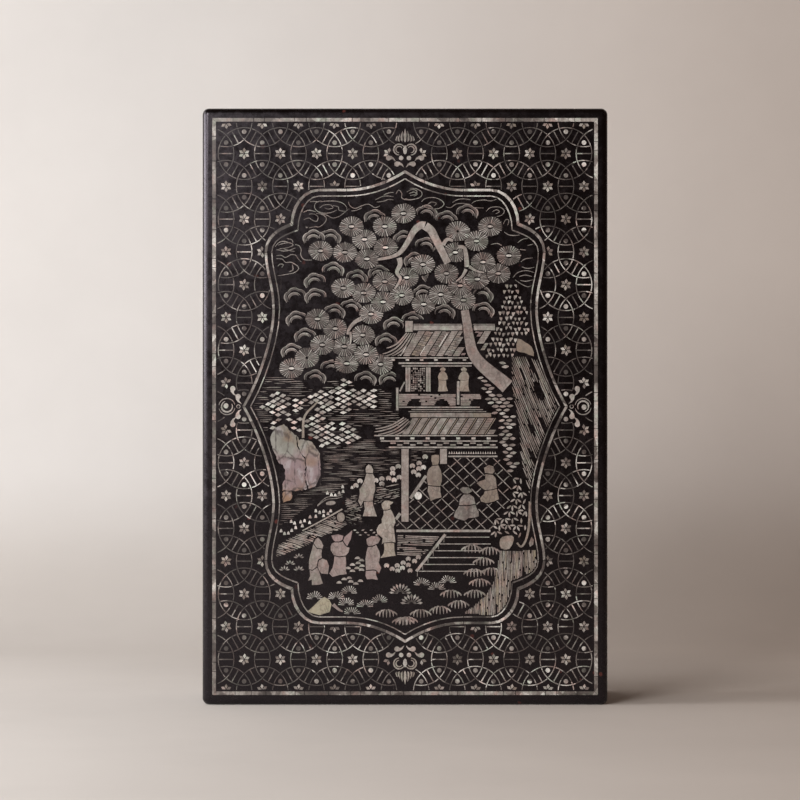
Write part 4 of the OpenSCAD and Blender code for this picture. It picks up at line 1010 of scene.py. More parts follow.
def timbers():
    """Beams, posts and eave blocks from the upper storey down to the floor."""
    shells = Inlay()
    draw = random.Random(43)
    level(shells, -13, 40, 29.6, 0.7, 0.6)
    for k in range(6):
        u = -8.4 + 8.8 * k
        if off_trunk((u, 28.6)) and off_trunk((u + 2.2, 28.6)):
            bar(shells, u, 28.2, 2.1, 1.0, 0.7)
    level(shells, -4.0, 42, 26.2, 1.0, 0.58)
    level(shells, -2.0, 41, 24.6, 0.8, 0.5)
    for u in (0.3, 1.95, 12.9, 14.4):
        bar(shells, u, 9.2, 1.35, 14.9, 0.52, 0.1)
    for i in range(8):
        for j in range(12):
            if draw.random() < 0.82:
                bar(shells, 3.8 + 1.08 * i, 9.4 + 1.22 * j,
                    draw.uniform(0.5, 0.98), draw.uniform(0.5, 1.12), draw.uniform(0.26, 0.66), 0.15)
    shells.strip([(-0.2, 15.2), (-3.2, 9.4)], 0.9, 0.9, 0.46)
    bar(shells, -5.5, -2.4, 1.4, 14.0, 0.52)
    level(shells, -19, 57, -18.3, 0.7, 0.56, anywhere)
    for k in range(8):
        bar(shells, -15.4 + 9.4 * k, -20.3, 2.4, 1.3, 0.72)
    level(shells, -15, 57, -21.7, 0.8, 0.54, anywhere)
    for k in range(16):
        bar(shells, -9 + 4.1 * k, -23.0 - 1.1 * (k % 2), 3.3, 0.85,
            draw.uniform(0.42, 0.72), draw.uniform(0, 0.3))
    level(shells, -10, 57, -25.7, 1.0, 0.56, anywhere)
    bar(shells, -2.2, -71, 4.4, 44.8, 0.5, 0.22)
    bar(shells, 21.6, -35.4, 4.2, 9.2, 0.54, 0.15)
    for k in range(20):
        u = 27.4 + 1.48 * k
        shells.plate([(u - 0.6, -29.2), (u + 0.6, -29.2), (u, -27.6)], draw.uniform(0.55, 0.9), 0.15)
    level(shells, 26.6, 57, -31.2, 0.9, 0.56, anywhere)
    level(shells, -5.4, 52.6, -77.4, 1.5, 0.58, anywhere)
    shells.lay("pavilion_timbers", PICTURE_PEARL, "pavilion_frame")


def balcony():
    shells = Inlay()
    panel = [(-3.8, 0.6), (47, 0.6), (47, 8.6), (-3.8, 8.6)]
    arches = [(5.7, 0.4, 4.0, 3.8), (22.7, 0.4, 4.2, 3.7), (44.7, 0.6, 4.2, 4.2)]

    def on_panel(p):
        return off_trunk(p) and not any(in_oval(p, a, 0.2) for a in arches) and not 31.7 < p[0] < 33.8

    hatch(shells, panel, 0, 1.02, 0.94, 47, on_panel, (0.36, 0.48), (10, 26), 0.2, (0.1, 0.35),
          fill=1.0, ends=1.0)
    bar(shells, 32, 1.2, 1.5, 14.4, 0.56)
    level(shells, -3.8, 46, -0.8, 0.7, 0.58)
    level(shells, 4, 48, -2.2, 0.6, 0.46)
    level(shells, 2, 50, -3.4, 0.5, 0.36)
    shells.lay("balcony_rail", PICTURE_PEARL, "balcony")


roofs()
timbers()
balcony()


# Figures: blank silhouettes, each with its tone, its blush and its shells from the head down
FIGURES = [
    (0.5, -0.2, [
        [(-24.1, -40.7), (-24.3, -38.7), (-23.7, -36.8), (-22.4, -35.6), (-20.7, -36.7),
        (-19.6, -39.1), (-19.9, -41.2)],
        [(-23.8, -41.3), (-19.8, -41.7), (-18.7, -43.7), (-19.4, -45.3), (-18.4, -48.5),
        (-18.4, -51.3), (-19.5, -55), (-19.9, -58.1), (-22.8, -58.6), (-25.6, -58.1), (-27.3, -61.5),
        (-28.9, -58.3), (-27.9, -53.8), (-28, -50.9), (-26, -48), (-24.8, -44.9)],
        [(-25.3, -58.8), (-19.9, -58.6), (-19.6, -60.9), (-17.4, -67.7), (-26, -67.6), (-24.8, -63.1)],
    ]),
    (0.52, -0.4, [
        [(-12.6, -58.1), (-10.7, -57.9), (-7.3, -58.9), (-7.8, -59.8), (-9.3, -60.7), (-9.1, -62.9),
        (-10.9, -63.6), (-13.3, -63.7), (-14.3, -62), (-14.5, -60)],
        [(-13.2, -64.2), (-10.9, -64.1), (-8.9, -63.4), (-7.6, -65.6), (-6.3, -68.7), (-5.9, -71.5),
        (-7, -74), (-6.7, -76.6), (-5.9, -83.8), (-8.4, -83.4), (-13.2, -84), (-14.4, -84.9),
        (-13.8, -81.1), (-15.4, -79.7), (-17.1, -78.3), (-17.6, -76), (-16.3, -73.2), (-14.3, -71.8),
        (-14.4, -69.3), (-13.2, -66.8)],
        [(-13.1, -84.4), (-8.2, -83.9), (-6.7, -84.4), (-6.6, -88.4), (-5.8, -92), (-9, -92.3),
        (-15.2, -93.4), (-13.2, -90.6), (-12.7, -87.2)],
    ]),
    (0.42, 0.35, [
        [(-56.3, -84.3), (-55, -81.7), (-53.5, -80.8), (-51.6, -83), (-50.4, -85.8), (-50.9, -87.6),
        (-54.4, -87)],
        [(-56.6, -84.8), (-54.5, -87.6), (-51.1, -88.1), (-51.6, -90.6), (-51.3, -93.2),
        (-53.7, -94.5), (-54.5, -98.8), (-57.1, -100.7), (-59.2, -100.2), (-59.2, -95), (-58.1, -90.6),
        (-57.2, -87.8)],
        [(-50.9, -93.7), (-48.2, -94.8), (-46.9, -98.1), (-47.5, -103.3), (-51.6, -102.9),
        (-53, -100.9), (-53.9, -98.9), (-53.1, -95)],
        [(-58.8, -100.7), (-57.1, -101.3), (-54.2, -99.3), (-52.8, -101.9), (-51.6, -106.3),
        (-50.6, -109.1), (-52.6, -109.8), (-57.4, -110.1), (-57.4, -106.7), (-59.7, -107.4),
        (-58.5, -104.3)],
    ]),
    (0.45, 0.65, [
        [(-44.4, -82), (-45.4, -79.6), (-41.3, -78.8), (-38, -79.7), (-38.7, -82.3), (-40.6, -83.2),
        (-43.2, -83.2)],
        [(-37.3, -80.5), (-32.4, -76.2), (-33.4, -81.7), (-35.7, -86), (-37, -84.5), (-38.1, -82.6)],
        [(-45.1, -84.4), (-43.6, -83.8), (-40.6, -83.8), (-38.4, -83.2), (-37.3, -85.2),
        (-35.9, -86.6), (-34.2, -87.1), (-34.8, -89.9), (-36.5, -91.8), (-40.6, -92.4), (-44, -91.6),
        (-45.8, -88.5), (-45.8, -86.1)],
        [(-43.5, -92.3), (-40.6, -93), (-36.6, -92.5), (-36.3, -96.1), (-36.5, -100.9),
        (-35.9, -103.3), (-40.6, -103.9), (-44.7, -105), (-46.7, -102.9), (-44.7, -99.5),
        (-43.9, -96.1)],
    ]),
    (0.46, 0.5, [
        [(-23.5, -84.7), (-23.8, -81.7), (-20.7, -79.9), (-16.5, -80.1), (-15.2, -81.7),
        (-16.5, -84.3), (-20, -85.8), (-22.6, -85.9)],
        [(-22.9, -86.6), (-20, -86.5), (-17.8, -85.4), (-15.8, -89.2), (-15.3, -92.6), (-16.2, -96.1),
        (-14.6, -99.5), (-16, -102.8), (-17.6, -100.9), (-19.3, -100.4), (-24.1, -100.8), (-24.4, -94),
        (-23.8, -89.9)],
        [(-24.1, -101.4), (-19.1, -101.1), (-17.8, -101.5), (-17.9, -103.6), (-16.8, -106.9),
        (-20, -106.3), (-23.5, -106.5), (-24.4, -104.3)],
    ]),
    (0.3, -0.35, [
        [(16.4, -30.2), (18.6, -29.7), (20.9, -29.9), (21.2, -32.7), (20.4, -35.8), (17, -36.1),
        (16.2, -33)],
        [(16.9, -36.6), (20.6, -36.3), (22, -39.2), (22.7, -42.3), (22.6, -46), (21.7, -49.1),
        (18, -48.8), (14.2, -48.5), (13.4, -44.8), (13.6, -41), (14.7, -38.3)],
        [(14.3, -49), (18, -49.4), (21.7, -49.6), (21.8, -52.8), (22.6, -56), (18.9, -56.8),
        (15.8, -58.3), (14.9, -54.9), (13.9, -52.2)],
    ]),
    (0.4, 0, [
        [(33.7, -51), (35.6, -49.6), (39.3, -49.9), (41.5, -52.2), (38.7, -53.8), (35.8, -53.4)],
        [(36.1, -54.3), (39.9, -54.1), (42.4, -55.9), (43.4, -60.1), (38.7, -60.8), (33.4, -60.8),
        (33.6, -58), (34.7, -55.9)],
        [(33.2, -61.4), (38.7, -61.4), (43.5, -60.6), (43.9, -62.3), (45.2, -64.5), (45.5, -67.6),
        (43, -68.5), (39, -68.8), (36.8, -70.4), (33.1, -69.4), (30, -68.2), (30.8, -65.1)],
    ]),
    (0.31, -0.35, [
        [(49.3, -40.9), (48.7, -37.8), (51.7, -36.1), (54.4, -36.9), (55.3, -39.8), (54, -41.5)],
        [(49.5, -41.7), (54, -42.1), (55.9, -44.1), (56.3, -47.8), (56.6, -50.3), (52.9, -51.2),
        (49.2, -51.5), (47, -50), (44.2, -47.2), (45.5, -46.3), (49.5, -44.9)],
        [(49.2, -52.1), (52.9, -51.7), (56.6, -50.9), (57.5, -54.6), (57.9, -57.1), (54.8, -58.5),
        (50.4, -59.6), (46.8, -58.5), (46.2, -56.5), (48.5, -54.1)],
    ]),
    (0.42, -0.45, [
        [(22, 22), (24.5, 22), (25.1, 22.7), (24.6, 23.6), (23.6, 24.3), (22.2, 23.8), (21.5, 22.7)],
        [(22.2, 21.7), (24.1, 21.7), (25.4, 20.4), (26.2, 18.5), (26.4, 17), (25.5, 16.4),
        (22.6, 16.3), (20.6, 16.6), (20.3, 18.6), (21.1, 20.5)],
        [(20.7, 16.4), (22.6, 16.1), (25.3, 16.1), (25.4, 13), (26.4, 9.6), (24.5, 9.3), (20.3, 9.3),
        (20.8, 12.5)],
    ]),
    (0.42, -0.45, [
        [(37.7, 22), (35, 22), (34.3, 22.7), (34.9, 23.6), (36, 24.3), (37.5, 23.8), (38.2, 22.7)],
        [(37.5, 21.7), (35.4, 21.7), (34, 20.4), (33.1, 18.5), (32.9, 17), (33.9, 16.4), (37.1, 16.3),
        (39.2, 16.6), (39.5, 18.6), (38.7, 20.5)],
        [(39.1, 16.4), (37.1, 16.1), (34.1, 16.1), (33.9, 13), (32.9, 9.6), (35, 9.3), (39.6, 9.3),
        (39, 12.5)],
    ]),
]


def figures():
    shells = Inlay()
    draw = random.Random(53)
    for tone, blush, shapes in FIGURES:
        for shape in shapes:
            shells.plate(shape, tone + draw.uniform(-0.03, 0.06), blush * draw.uniform(0.6, 1.1))
    shells.lay("robed_figures", ROBE_PEARL, "figures")


figures()


def grown(outline, by):
    """An outline pushed away from its middle."""
    c = (sum(p[0] for p in outline) / len(outline), sum(p[1] for p in outline) / len(outline))
    return [along(c, p, 1 + by / max(apart(c, p), 0.1)) for p in outline]


FIGURE_SHAPES = [grown(shape, 0.7) for tone, blush, shapes in FIGURES for shape in shapes]


def off_figures(p):
    return not any(inside(p, shape) for shape in FIGURE_SHAPES)


# Lattice: two sets of slanting strips, one passing under the other, and a brace beside them
LATTICE_ZONE = [(12.4, -44.4), (21.2, -36.2), (26.2, -36.2), (26.2, -31.6), (58, -31.6), (66, -43),
                (65, -57), (59, -67), (53, -75.7), (-5.4, -75.7), (-5.4, -71.4)]
LATTICE_SETS = ((-45, 8.1, (24.1, -42)), (41, 8.5, (23.8, -41)))
LATTICE_STRIPS = range(-8, 9)
CROSSINGS = [(23.8 + 8.1 * k, -42) for k in LATTICE_STRIPS]
BRACE = [(13.0, -42.6), (-5.6, -69.6)]
PEARL_BALL = (8.1, -55)


def lattice():
    shells = Inlay()
    draw = random.Random(57)
    for lean, pitch, start in LATTICE_SETS:
        d = polar((0, 0), 1, lean)

        def free(p):
            under = lean > 0 and any(abs(p[0] - c[0] + p[1] - c[1]) < 0.75 for c in CROSSINGS)
            return (inside(p, LATTICE_ZONE) and off_figures(p) and not under and apart(p, PEARL_BALL) > 3
                    and not (-2.7 < p[0] < 2.7 and p[1] > -71.6))

        for k in LATTICE_STRIPS:
            middle = (start[0] + k * pitch, start[1])
            line = [(middle[0] + d[0] * t, middle[1] + d[1] * t) for t in (-60, 60)]
            for run in runs(spaced(line, 0.3), free):
                if len(run) > 5:
                    shells.strip([run[0], run[-1]], 0.55, 0.55, draw.uniform(0.34, 0.52))
    for t0, t1 in ((0.0, 0.52), (0.86, 1.0)):
        shells.strip([along(*BRACE, t0), along(*BRACE, t1)], 1.9, 1.9, 0.5)
    shells.lay("lattice_strips", PICTURE_PEARL, "pavilion_lattice")


lattice()


# Terrace
def terrace():
    shells = Inlay()
    ramp = [(-5.4, -79.4), (22.4, -79.4), (11.6, -91.6), (-5.4, -91.6)]
    hatch(shells, ramp, -2, 1.05, 0.74, 51, off_figures, (0.34, 0.58), (12, 30), 0.4, (0, 0.35), fill=0.95)
    shells.strip([(24.8, -78.8), (7.0, -101.6)], 1.7, 1.7, 0.55)
    for k in range(6):
        v = -80.8 - 4.2 * k
        u = 24.8 - 3.28 * k
        level(shells, u, 52 - 2.2 * k + 3 * (k % 2), v, 0.55, 0.56, anywhere)
        bar(shells, u - 1.0, v - 2.9, 0.35, 2.4, 0.45)
    shells.plate(oval(PEARL_BALL, 2.3, 2.4, 16), 1.0)
    shells.lay("terrace_stairs", PICTURE_PEARL, "terrace_steps")


terrace()


# Rocks
ROCK_SHELLS = [
    [(-74.3, -11), (-71.2, -14.6), (-67.1, -18), (-66.9, -22.8), (-65.3, -27.7), (-61.9, -32.6),
    (-61.4, -36.7), (-62.1, -43.9), (-60.4, -49.1), (-60, -50.7), (-67.6, -52.4), (-72.7, -51.6),
    (-75.5, -52.2), (-75.5, -48), (-74.3, -45), (-73.7, -38.8), (-75.3, -36), (-77.5, -35.7),
    (-79.4, -30.6), (-81.5, -25.9), (-82.8, -20.8), (-82.3, -16.7), (-79.9, -13.1)],
    [(-66.3, -18.5), (-65.5, -20.4), (-61.4, -20.8), (-57.2, -21.8), (-54.7, -25.4), (-52.6, -29),
    (-52.1, -34.7), (-52.1, -39.8), (-52.6, -43.9), (-55.2, -48.6), (-57.2, -50.1), (-59.4, -50.5),
    (-59.8, -49), (-61.5, -43.9), (-60.7, -36.7), (-61.3, -32.4), (-64.7, -27.5), (-66.2, -22.9)],
    [(-75.3, -52.7), (-72.7, -52.2), (-69.6, -52.6), (-69.4, -56.3), (-71.2, -57.8), (-75.2, -58.8)],
]
STEM = [(-62.8, -19.4), (-62.6, -8.6), (-60.5, -3.8), (-57.1, -0.4), (-53.7, 3.1)]
SMALL_STONE = [(-60.1, -126.3), (-56, -122.6), (-52, -118.6), (-49.6, -117.3), (-46.5, -119.4),
               (-45.3, -122), (-46.4, -126.6), (-52.5, -128.6), (-56.6, -127.6)]
CLIFF = [(65.6, 31), (66, 11.3), (67, 5.6), (68.6, -2.8), (70.1, -11.2), (70.7, -19.6), (71, -28),
         (73.4, -42), (76, -50), (77, -58), (99, -58), (99, 33.5), (80, 29), (74, 31)]
CLIFF_LEAN = -67
CLIFF_HOLES = [
    oval(c, ru, rv, 12, CLIFF_LEAN)
    for c, ru, rv in (((82.6, 9.6), 6.4, 2.3), ((78, -13.4), 5.4, 1.2), ((85.4, -11.2), 4.6, 1.2),
                      ((78.1, -30.3), 4.6, 1.1), ((72.4, 20), 4, 0.5))
]
CLIFF_CAP = [(69.6, 41.8), (74, 39.6), (78, 36.8), (79.4, 31), (73.6, 33.2), (68.8, 34.4)]
CLIFF_FOOT_LINE = [(77, -58.6), (76.8, -66), (76.2, -75), (74.4, -82.4), (71.6, -86.4), (69, -84)]
STUMP = [(58, -88.6), (57.5, -97), (55, -107), (50, -116), (43, -122), (35, -128), (57, -129), (66, -118),
         (69.6, -106), (72.6, -104), (72.6, -89.2), (68.6, -88.2)]
SMALL_STUMP = [(73, -88.4), (72.6, -98), (75, -105), (80, -103), (84, -95), (83.4, -87.6)]
STUMP_CAP = [(58.4, -83), (60.1, -80.3), (66, -79.6), (67, -82.3), (64.3, -87.8), (59.1, -87.5)]
SMALL_CAP = [(76.3, -84.4), (78, -80.3), (79.4, -82.3), (79, -85.1), (77, -86.5)]


def chipped(outline, draw, step, depth):
    """An outline with small chips along its edge."""
    points = []
    for a, b in zip(outline, outline[1:] + outline[:1]):
        parts = max(1, round(apart(a, b) / step))
        for i in range(parts):
            p = along(a, b, i / parts)
            points.append((p[0] + draw.uniform(-depth, depth), p[1] + draw.uniform(-depth, depth)))
    return points


def rocks():
    shells = Inlay()
    draw = random.Random(43)
    for outline in ROCK_SHELLS:
        shells.plate(chipped(outline, draw, 1.3, 0.42))
    shells.lay("left_rock", ROCK_PEARL, "rock_left")

    shells = Inlay()
    shells.strip(curve(STEM), 1.6, 1.0, 0.4, -0.3)
    shells.plate(SMALL_STONE, 0.56, -0.75)
    shells.strip(curve([(-44.4, -122), (-41, -125), (-38.4, -126.4)]), 2.2, 0.8, 0.42, 0.4)
    shells.lay("left_branch_and_stone", ROBE_PEARL)

    shells = Inlay()
    hatch(shells, CLIFF, CLIFF_LEAN, 1.12, 0.8, 61, lambda p: not any(inside(p, o) for o in CLIFF_HOLES),
          (0.22, 0.6), (20, 60), 0.15, (-0.25, 0.25), fill=0.97, wave=0.16, ends=0.4)
    shells.plate(curve(CLIFF_CAP, 2, True), 0.3, -0.4)
    hatch(shells, STUMP, -91, 0.9, 0.74, 67, anywhere, (0.3, 0.66), (14, 40), 0.15, (-0.6, 0.4),
          fill=0.97, wave=0.2)
    hatch(shells, SMALL_STUMP, -90, 0.9, 0.74, 71, anywhere, (0.28, 0.6), (12, 30), 0.15, (-0.7, 0.3),
          fill=0.97, wave=0.2)
    shells.plate(curve(STUMP_CAP, 2, True), 0.46, -0.3)
    shells.plate(SMALL_CAP, 0.4, 0.1)
    shells.strip(curve(CLIFF_FOOT_LINE), 1.6, 1.1, 0.4, -0.3)
    shells.lay("right_rocks", PICTURE_PEARL, "rocks_right")


rocks()


# Embankment, water and plants
BANK = [
    (-79.1, -85.8), (-71.5, -81.1), (-59.2, -75.3), (-48.2, -69.3), (-38.2, -64), (-37.5, -66.6),
    (-35.8, -72.7), (-39.2, -75.5), (-44, -77.7), (-50.2, -79.7), (-56.4, -83.8), (-64.7, -87.5),
    (-72.9, -90.9), (-80.1, -93.3),
]
BANK_SIDE = [
    (-37.5, -62.8), (-37.2, -57), (-29.6, -53.5), (-27.5, -59.7), (-26.2, -72.7), (-35.4, -72.7),
    (-37.2, -66.6),
]
BANK_EDGE = [(-63.3, -76.6), (-50.9, -70.1), (-38.7, -63.3)]
SHORE = [(-37.8, -58), (-29, -53), (-19, -50), (-3, -47), (-3, -56), (-18, -60), (-27, -64), (-36, -63)]
STONE = (-39.6, -68.3, 2.4, 3.0)
FLOWER_BALLS = [
    (-7.6, -38.4), (-4.2, -37), (-14.3, -44.6), (-10.1, -44.3), (-6.7, -45.4), (-3.6, -43.7),
    (-27.8, -46), (-18, -45.7), (-14.3, -47.7), (4.5, -36.7), (8.7, -35), (5.4, -40.4), (8.5, -38.4),
    (8.2, -42.3), (11.3, -37.6), (12.4, -31.1), (-7.6, -41.2), (-30.3, -48.8),
]
FLOWER_HEADS = [
    (-11.4, -98.1), (-7.9, -100.2), (-4.8, -98.1), (-4.5, -101.2), (-1.1, -96.4), (-1.6, -99.6), (2, -94),
    (2, -97.8), (5.8, -95.4), (8.2, -93), (3.1, -101.2),
]
HALF_PEBBLES = [
    (-35.1, -100.2), (-32.4, -98.1), (-29.3, -94), (-28.9, -97.1), (-26.8, -95.4), (-26.5, -98.8),
    (-29.6, -100.2), (-26.8, -101.2), (-32.4, -101.9), (-40.6, -109.1), (-37.5, -107), (-34.4, -106.3),
    (-33.4, -108.5), (-30.3, -109.8), (-27.5, -108.1),
]
BUDS = [
    (-38.5, -49.4), (-38.2, -52.2), (-40.6, -53.2), (-43, -54.6), (-45.4, -54.2), (-47.8, -53.2),
    (-32.7, -49.8), (-55, -64.2), (-52.6, -65.2), (-50.2, -64.5), (-45.8, -64.2), (-47.5, -65.9),
    (-50.2, -67.2), (-55, -67.6), (-58.5, -67.9), (-70.2, -70.7), (-68.1, -71.7), (-64.3, -71),
    (-61.9, -70.3), (-58.8, -71.4), (-63.3, -73.4), (-67.4, -74.5), (-69.8, -76.2), (-71.9, -77.9),
    (-74.3, -78.2), (-76.4, -76.5),
]
TUFTS = [(-70.9, -97.4), (-65.4, -93.3), (-65.4, -100.9), (-74.3, -100.9)]
SMALL_LOZENGES = [(-31 + 1.7 * k, -76.2 - 1.5 * (k % 3)) for k in range(9)]
BUD = [(-0.95, -1), (0.95, -1), (0.6, 0.5), (0, 1.1), (-0.6, 0.5)]
FLAT_STONE = (-45.8, -59.5)


def bell(c, r):
    """A round flower with a notch below."""
    return [polar(c, r, a, 0.94) for a in range(-60, 241, 25)] + [(c[0], c[1] - 0.35 * r)]


def dome(c):
    return [polar(c, 1.7, a, 0.9) for a in range(0, 181, 20)]


def scatter(shells, draw, places, shape, tone, blush=None):
    """Lays a shape at each place that no figure covers."""
    for p in places:
        if off_figures(p):
            shells.plate(shape(p), draw.uniform(*tone), draw.uniform(*blush) if blush else 0.0)


def off_figures_and_stone(p):
    return off_figures(p) and not in_oval(p, STONE, 0.4) and in_picture(p)


def off_figures_and_post(p):
    return off_figures(p) and not -3.2 < p[0] < 3.2


def ground():
    shells = Inlay()
    hatch(shells, BANK, -18, 1.0, 0.84, 73, off_figures_and_stone, (0.4, 0.66), (12, 26), 0.3,
          (-0.35, 0.1), fill=0.98, ends=0.35, wave=0.3)
    shells.strip(curve(BANK_EDGE), 0.7, 1.0, 0.56, -0.2)
    hatch(shells, SHORE, 9, 0.95, 0.6, 79, off_figures_and_post, (0.34, 0.56), (3, 9), 0.3, (-0.2, 0.2),
          wave=0.5, ends=0.4)
    hatch(shells, BANK_SIDE, -12, 0.95, 0.62, 80, off_figures_and_stone, (0.36, 0.6), (2.5, 7), 0.3,
          (-0.3, 0.2), wave=0.4, ends=0.3)
    shells.plate(oval(FLAT_STONE, 3.1, 1.3, 12, 6), 0.42, 0.1)
    for lift in (0.0, 1.3):
        rest = [(u, v + lift) for u, v in ((-48.6, -57.4), (-42, -56.6), (-38.6, -55.6))]
        shells.strip(curve([(-54, -61.4 + 0.3 * lift), *rest]), 0.5, 0.4, 0.44)
    shells.plate(oval(STONE[:2], STONE[2], STONE[3], 14), 0.44, -0.2)
    shells.lay("bank_strokes", PICTURE_PEARL, "embankment")

    shells = Inlay()
    draw = random.Random(83)
    scatter(shells, draw, FLOWER_BALLS, lambda c: bell(c, 1.7), (0.5, 0.85), (-0.2, 0.3))
    scatter(shells, draw, FLOWER_HEADS, lambda c: bell(c, 1.6), (0.46, 0.82), (-0.2, 0.35))
    scatter(shells, draw, HALF_PEBBLES, dome, (0.46, 0.8), (-0.2, 0.3))
    scatter(shells, draw, BUDS, lambda c: [(c[0] + x, c[1] + y) for x, y in BUD], (0.6, 0.95))
    for c in TUFTS:
        for k in range(5):
            a = 10 + 40 * k
            shells.plate(lozenge(polar(c, 2.1, a, 0.8), 2.6, 1.0, a, 0.55), draw.uniform(0.36, 0.66))
    scatter(shells, draw, SMALL_LOZENGES, lambda c: lozenge(c, 2.2, 1.0, draw.uniform(-10, 20)), (0.4, 0.7))
    shells.lay("flower_heads", PICTURE_PEARL, "pebbles")


ground()

LEAF_ZONES = [
    [(-90.1, 0.1), (-81.9, 6.8), (-73.6, 10.4), (-70, 3.7), (-73.1, 0.1), (-71.6, -5), (-73.6, -8.1),
     (-77.8, -8.6)],
    [(-71.1, -3.5), (-67.5, 4.7), (-59.7, 5.2), (-52.5, 11.9), (-44.2, 8.8), (-43.2, 2.7),
     (-51.5, 0.1), (-54.6, 3.7), (-61.8, -2), (-65.9, -2.5)],
    [(-44.2, 11.4), (-40.1, 16), (-36, 17.6), (-31.4, 11.9), (-26.7, 10.9), (-17.4, 11.4),
     (-17.4, -0.9), (-26.7, -1.4), (-39.1, -4), (-46.3, -3.5), (-53.5, -5), (-55.1, -0.9),
     (-49.4, 1.1), (-43.2, 2.7)],
    [(-71.6, -8.1), (-64.9, -5), (-62.8, -6.1), (-64.9, -17.4), (-70, -16.4), (-71.1, -12.2)],
    [(-60.2, -6.1), (-53, -3), (-47.9, -5), (-53.5, -11.2), (-46.3, -9.2), (-36.5, -9.7),
     (-29.8, -14.8), (-27.2, -20.5), (-31.4, -22.5), (-44.2, -22.5), (-52.5, -25.1), (-55.6, -22),
     (-59.7, -18.4), (-61.3, -15.3)],
    [(-85.5, -13.8), (-80.3, -8.1), (-76.2, -9.2), (-78.8, -13.3)],
]
ROCK_ZONE = [(-84, -18), (-80, -12), (-74.5, -7.4), (-70, -14), (-66, -19), (-56, -19), (-51, -26),
             (-50.4, -40), (-53, -49), (-60, -52), (-67.6, -54.4), (-69, -60), (-77, -60), (-77, -40),
             (-82, -30)]
LEAF_STEM = ribbon([(-62.8, -19.4), (-62.6, -8.6), (-60.5, -3.8), (-53.7, 3.1)], (3.2, 2.6))


LEAF_NET = range(-44, 45)
LEAF_STEP_U, LEAF_STEP_V = 3.15, 1.68


def near(draw, u, v, du, dv):
    """A point moved a little at random."""
    return (u + draw.uniform(-du, du), v + draw.uniform(-dv, dv))


def leaf_places():
    """A slanting net of leaves in each part of the bush, a little uneven and with gaps."""
    places = []
    draw = random.Random(83)
    for k, zone in enumerate(LEAF_ZONES):
        for i in LEAF_NET:
            for j in LEAF_NET:
                u = -50 + 1.3 * k + LEAF_STEP_U * (i + j)
                v = 0.7 * k + LEAF_STEP_V * (i - j)
                p = near(draw, u, v, 0.4, 0.25)
                if (draw.random() < 0.92 and inside(p, zone)
                        and in_picture((p[0] - 2.4, p[1])) and in_picture(p) and not in_heads(p, 2.0)
                        and not inside(p, LEAF_STEM) and not inside(p, ROCK_ZONE)):
                    places.append(p)
    return places


LEAVES = leaf_places()


LEAF_TONES = ((0.36, 0.66), (0.62, 0.96), (0.74, 1.0))
LAKE = [(-90, 19), (-8, 15), (-8, -2), (-4, -2), (-2, -14), (-4, -26), (21, -26), (21, -34), (-3, -37),
        (-14, -42), (-30, -45), (-52, -58), (-60, -62), (-79, -77), (-79, -58), (-76, -40), (-84, -20),
        (-97, 0)]


def water(p):
    """Whether nothing else lies at a point of the lake."""
    return (not in_heads(p) and off_figures(p) and not in_oval(p, (-45.8, -58.6, 9.5, 4.2))
            and not any(inside(p, zone) for zone in (ROCK_ZONE, LEAF_STEM, BANK, SHORE, BANK_SIDE))
            and not any(abs(p[0] - q[0]) < 2.7 and abs(p[1] - q[1]) < 1.5 for q in LEAVES)
            and not any(apart(p, q) < 2.2 for q in FLOWER_BALLS)
            and not any(in_oval(p, (c[0], c[1] + 1, 7.6, 7.2)) for c in CRESCENTS)
            and not (p[0] > -28 and -20 < p[1] < -12)
            and not (p[0] > -18 and -24.5 < p[1] < -17)
            and not -3 < p[0] < 3.2)


def leaves_and_water():
    shells = Inlay()
    draw = random.Random(89)
    for p in LEAVES:
        tone = draw.choice([draw.uniform(*tones) for tones in LEAF_TONES])
        size = (draw.uniform(3.9, 4.7), draw.uniform(2.0, 2.5))
        shells.plate(lozenge(p, *size, draw.uniform(-8, 14)), tone)
    shells.lay("lozenge_leaves", PICTURE_PEARL, "bush_leaves")

    shells = Inlay()
    hatch(shells, LAKE, 0, 1.24, 0.5, 97, water, (0.04, 0.52), (7, 26), 2.4, (-0.1, 0.2),
          ends=0.25, wave=0.16)
    shells.lay("water_strokes", PICTURE_PEARL, "water_lines")


leaves_and_water()

GRASSES = [
    (-11.4, -127.6), (-1.4, -132.4), (41.2, -87.8), (52.2, -89.2), (48.4, -95.7), (42.6, -102.6),
    (53.3, -101.9), (46, -108.7), (28.2, -115.6), (42.9, -115.6), (33, -122.1), (21.6, -125.5),
    (9.6, -127.6), (1.3, -132.1),
]
FANS = [
    (-55.7, -116.6), (-42.7, -116.6), (-34.4, -113.2), (-36.1, -120.4), (-24.4, -121.4), (-15.8, -118.7),
    (-33, -125.9), (10.3, -108.1), (19.6, -110.8), (26.4, -106.7),
]
SPRAY_ZONE = [(66.4, -42.6), (71.8, -42.6), (75.4, -54), (75.6, -66), (74.8, -75), (71, -83), (68, -79),
              (60, -79.4), (57, -82), (51, -83), (50, -78.2), (53.4, -78.2), (54.4, -70), (60.4, -66),
              (65.8, -57)]
BLADE = ((0.72, 2.4, -0.08), (1.5, 2.4, -0.16), (2.05, 0.6, -0.1), (2.1, -2.6, 0.16))
PETAL_FANS = [(-3, -113.4), (4, -119.8)]
DROP_ZONE = [(62, 75), (68, 75), (73, 66), (76, 54), (77, 45), (70, 44), (67.5, 31), (60, 28.5), (50, 30),
             (49, 36), (55, 46.5), (58, 56), (60, 66)]
DROP = [(-0.95, 0.95), (0.95, 0.95), (0.85, -0.1), (0, -1.55), (-0.85, -0.1)]
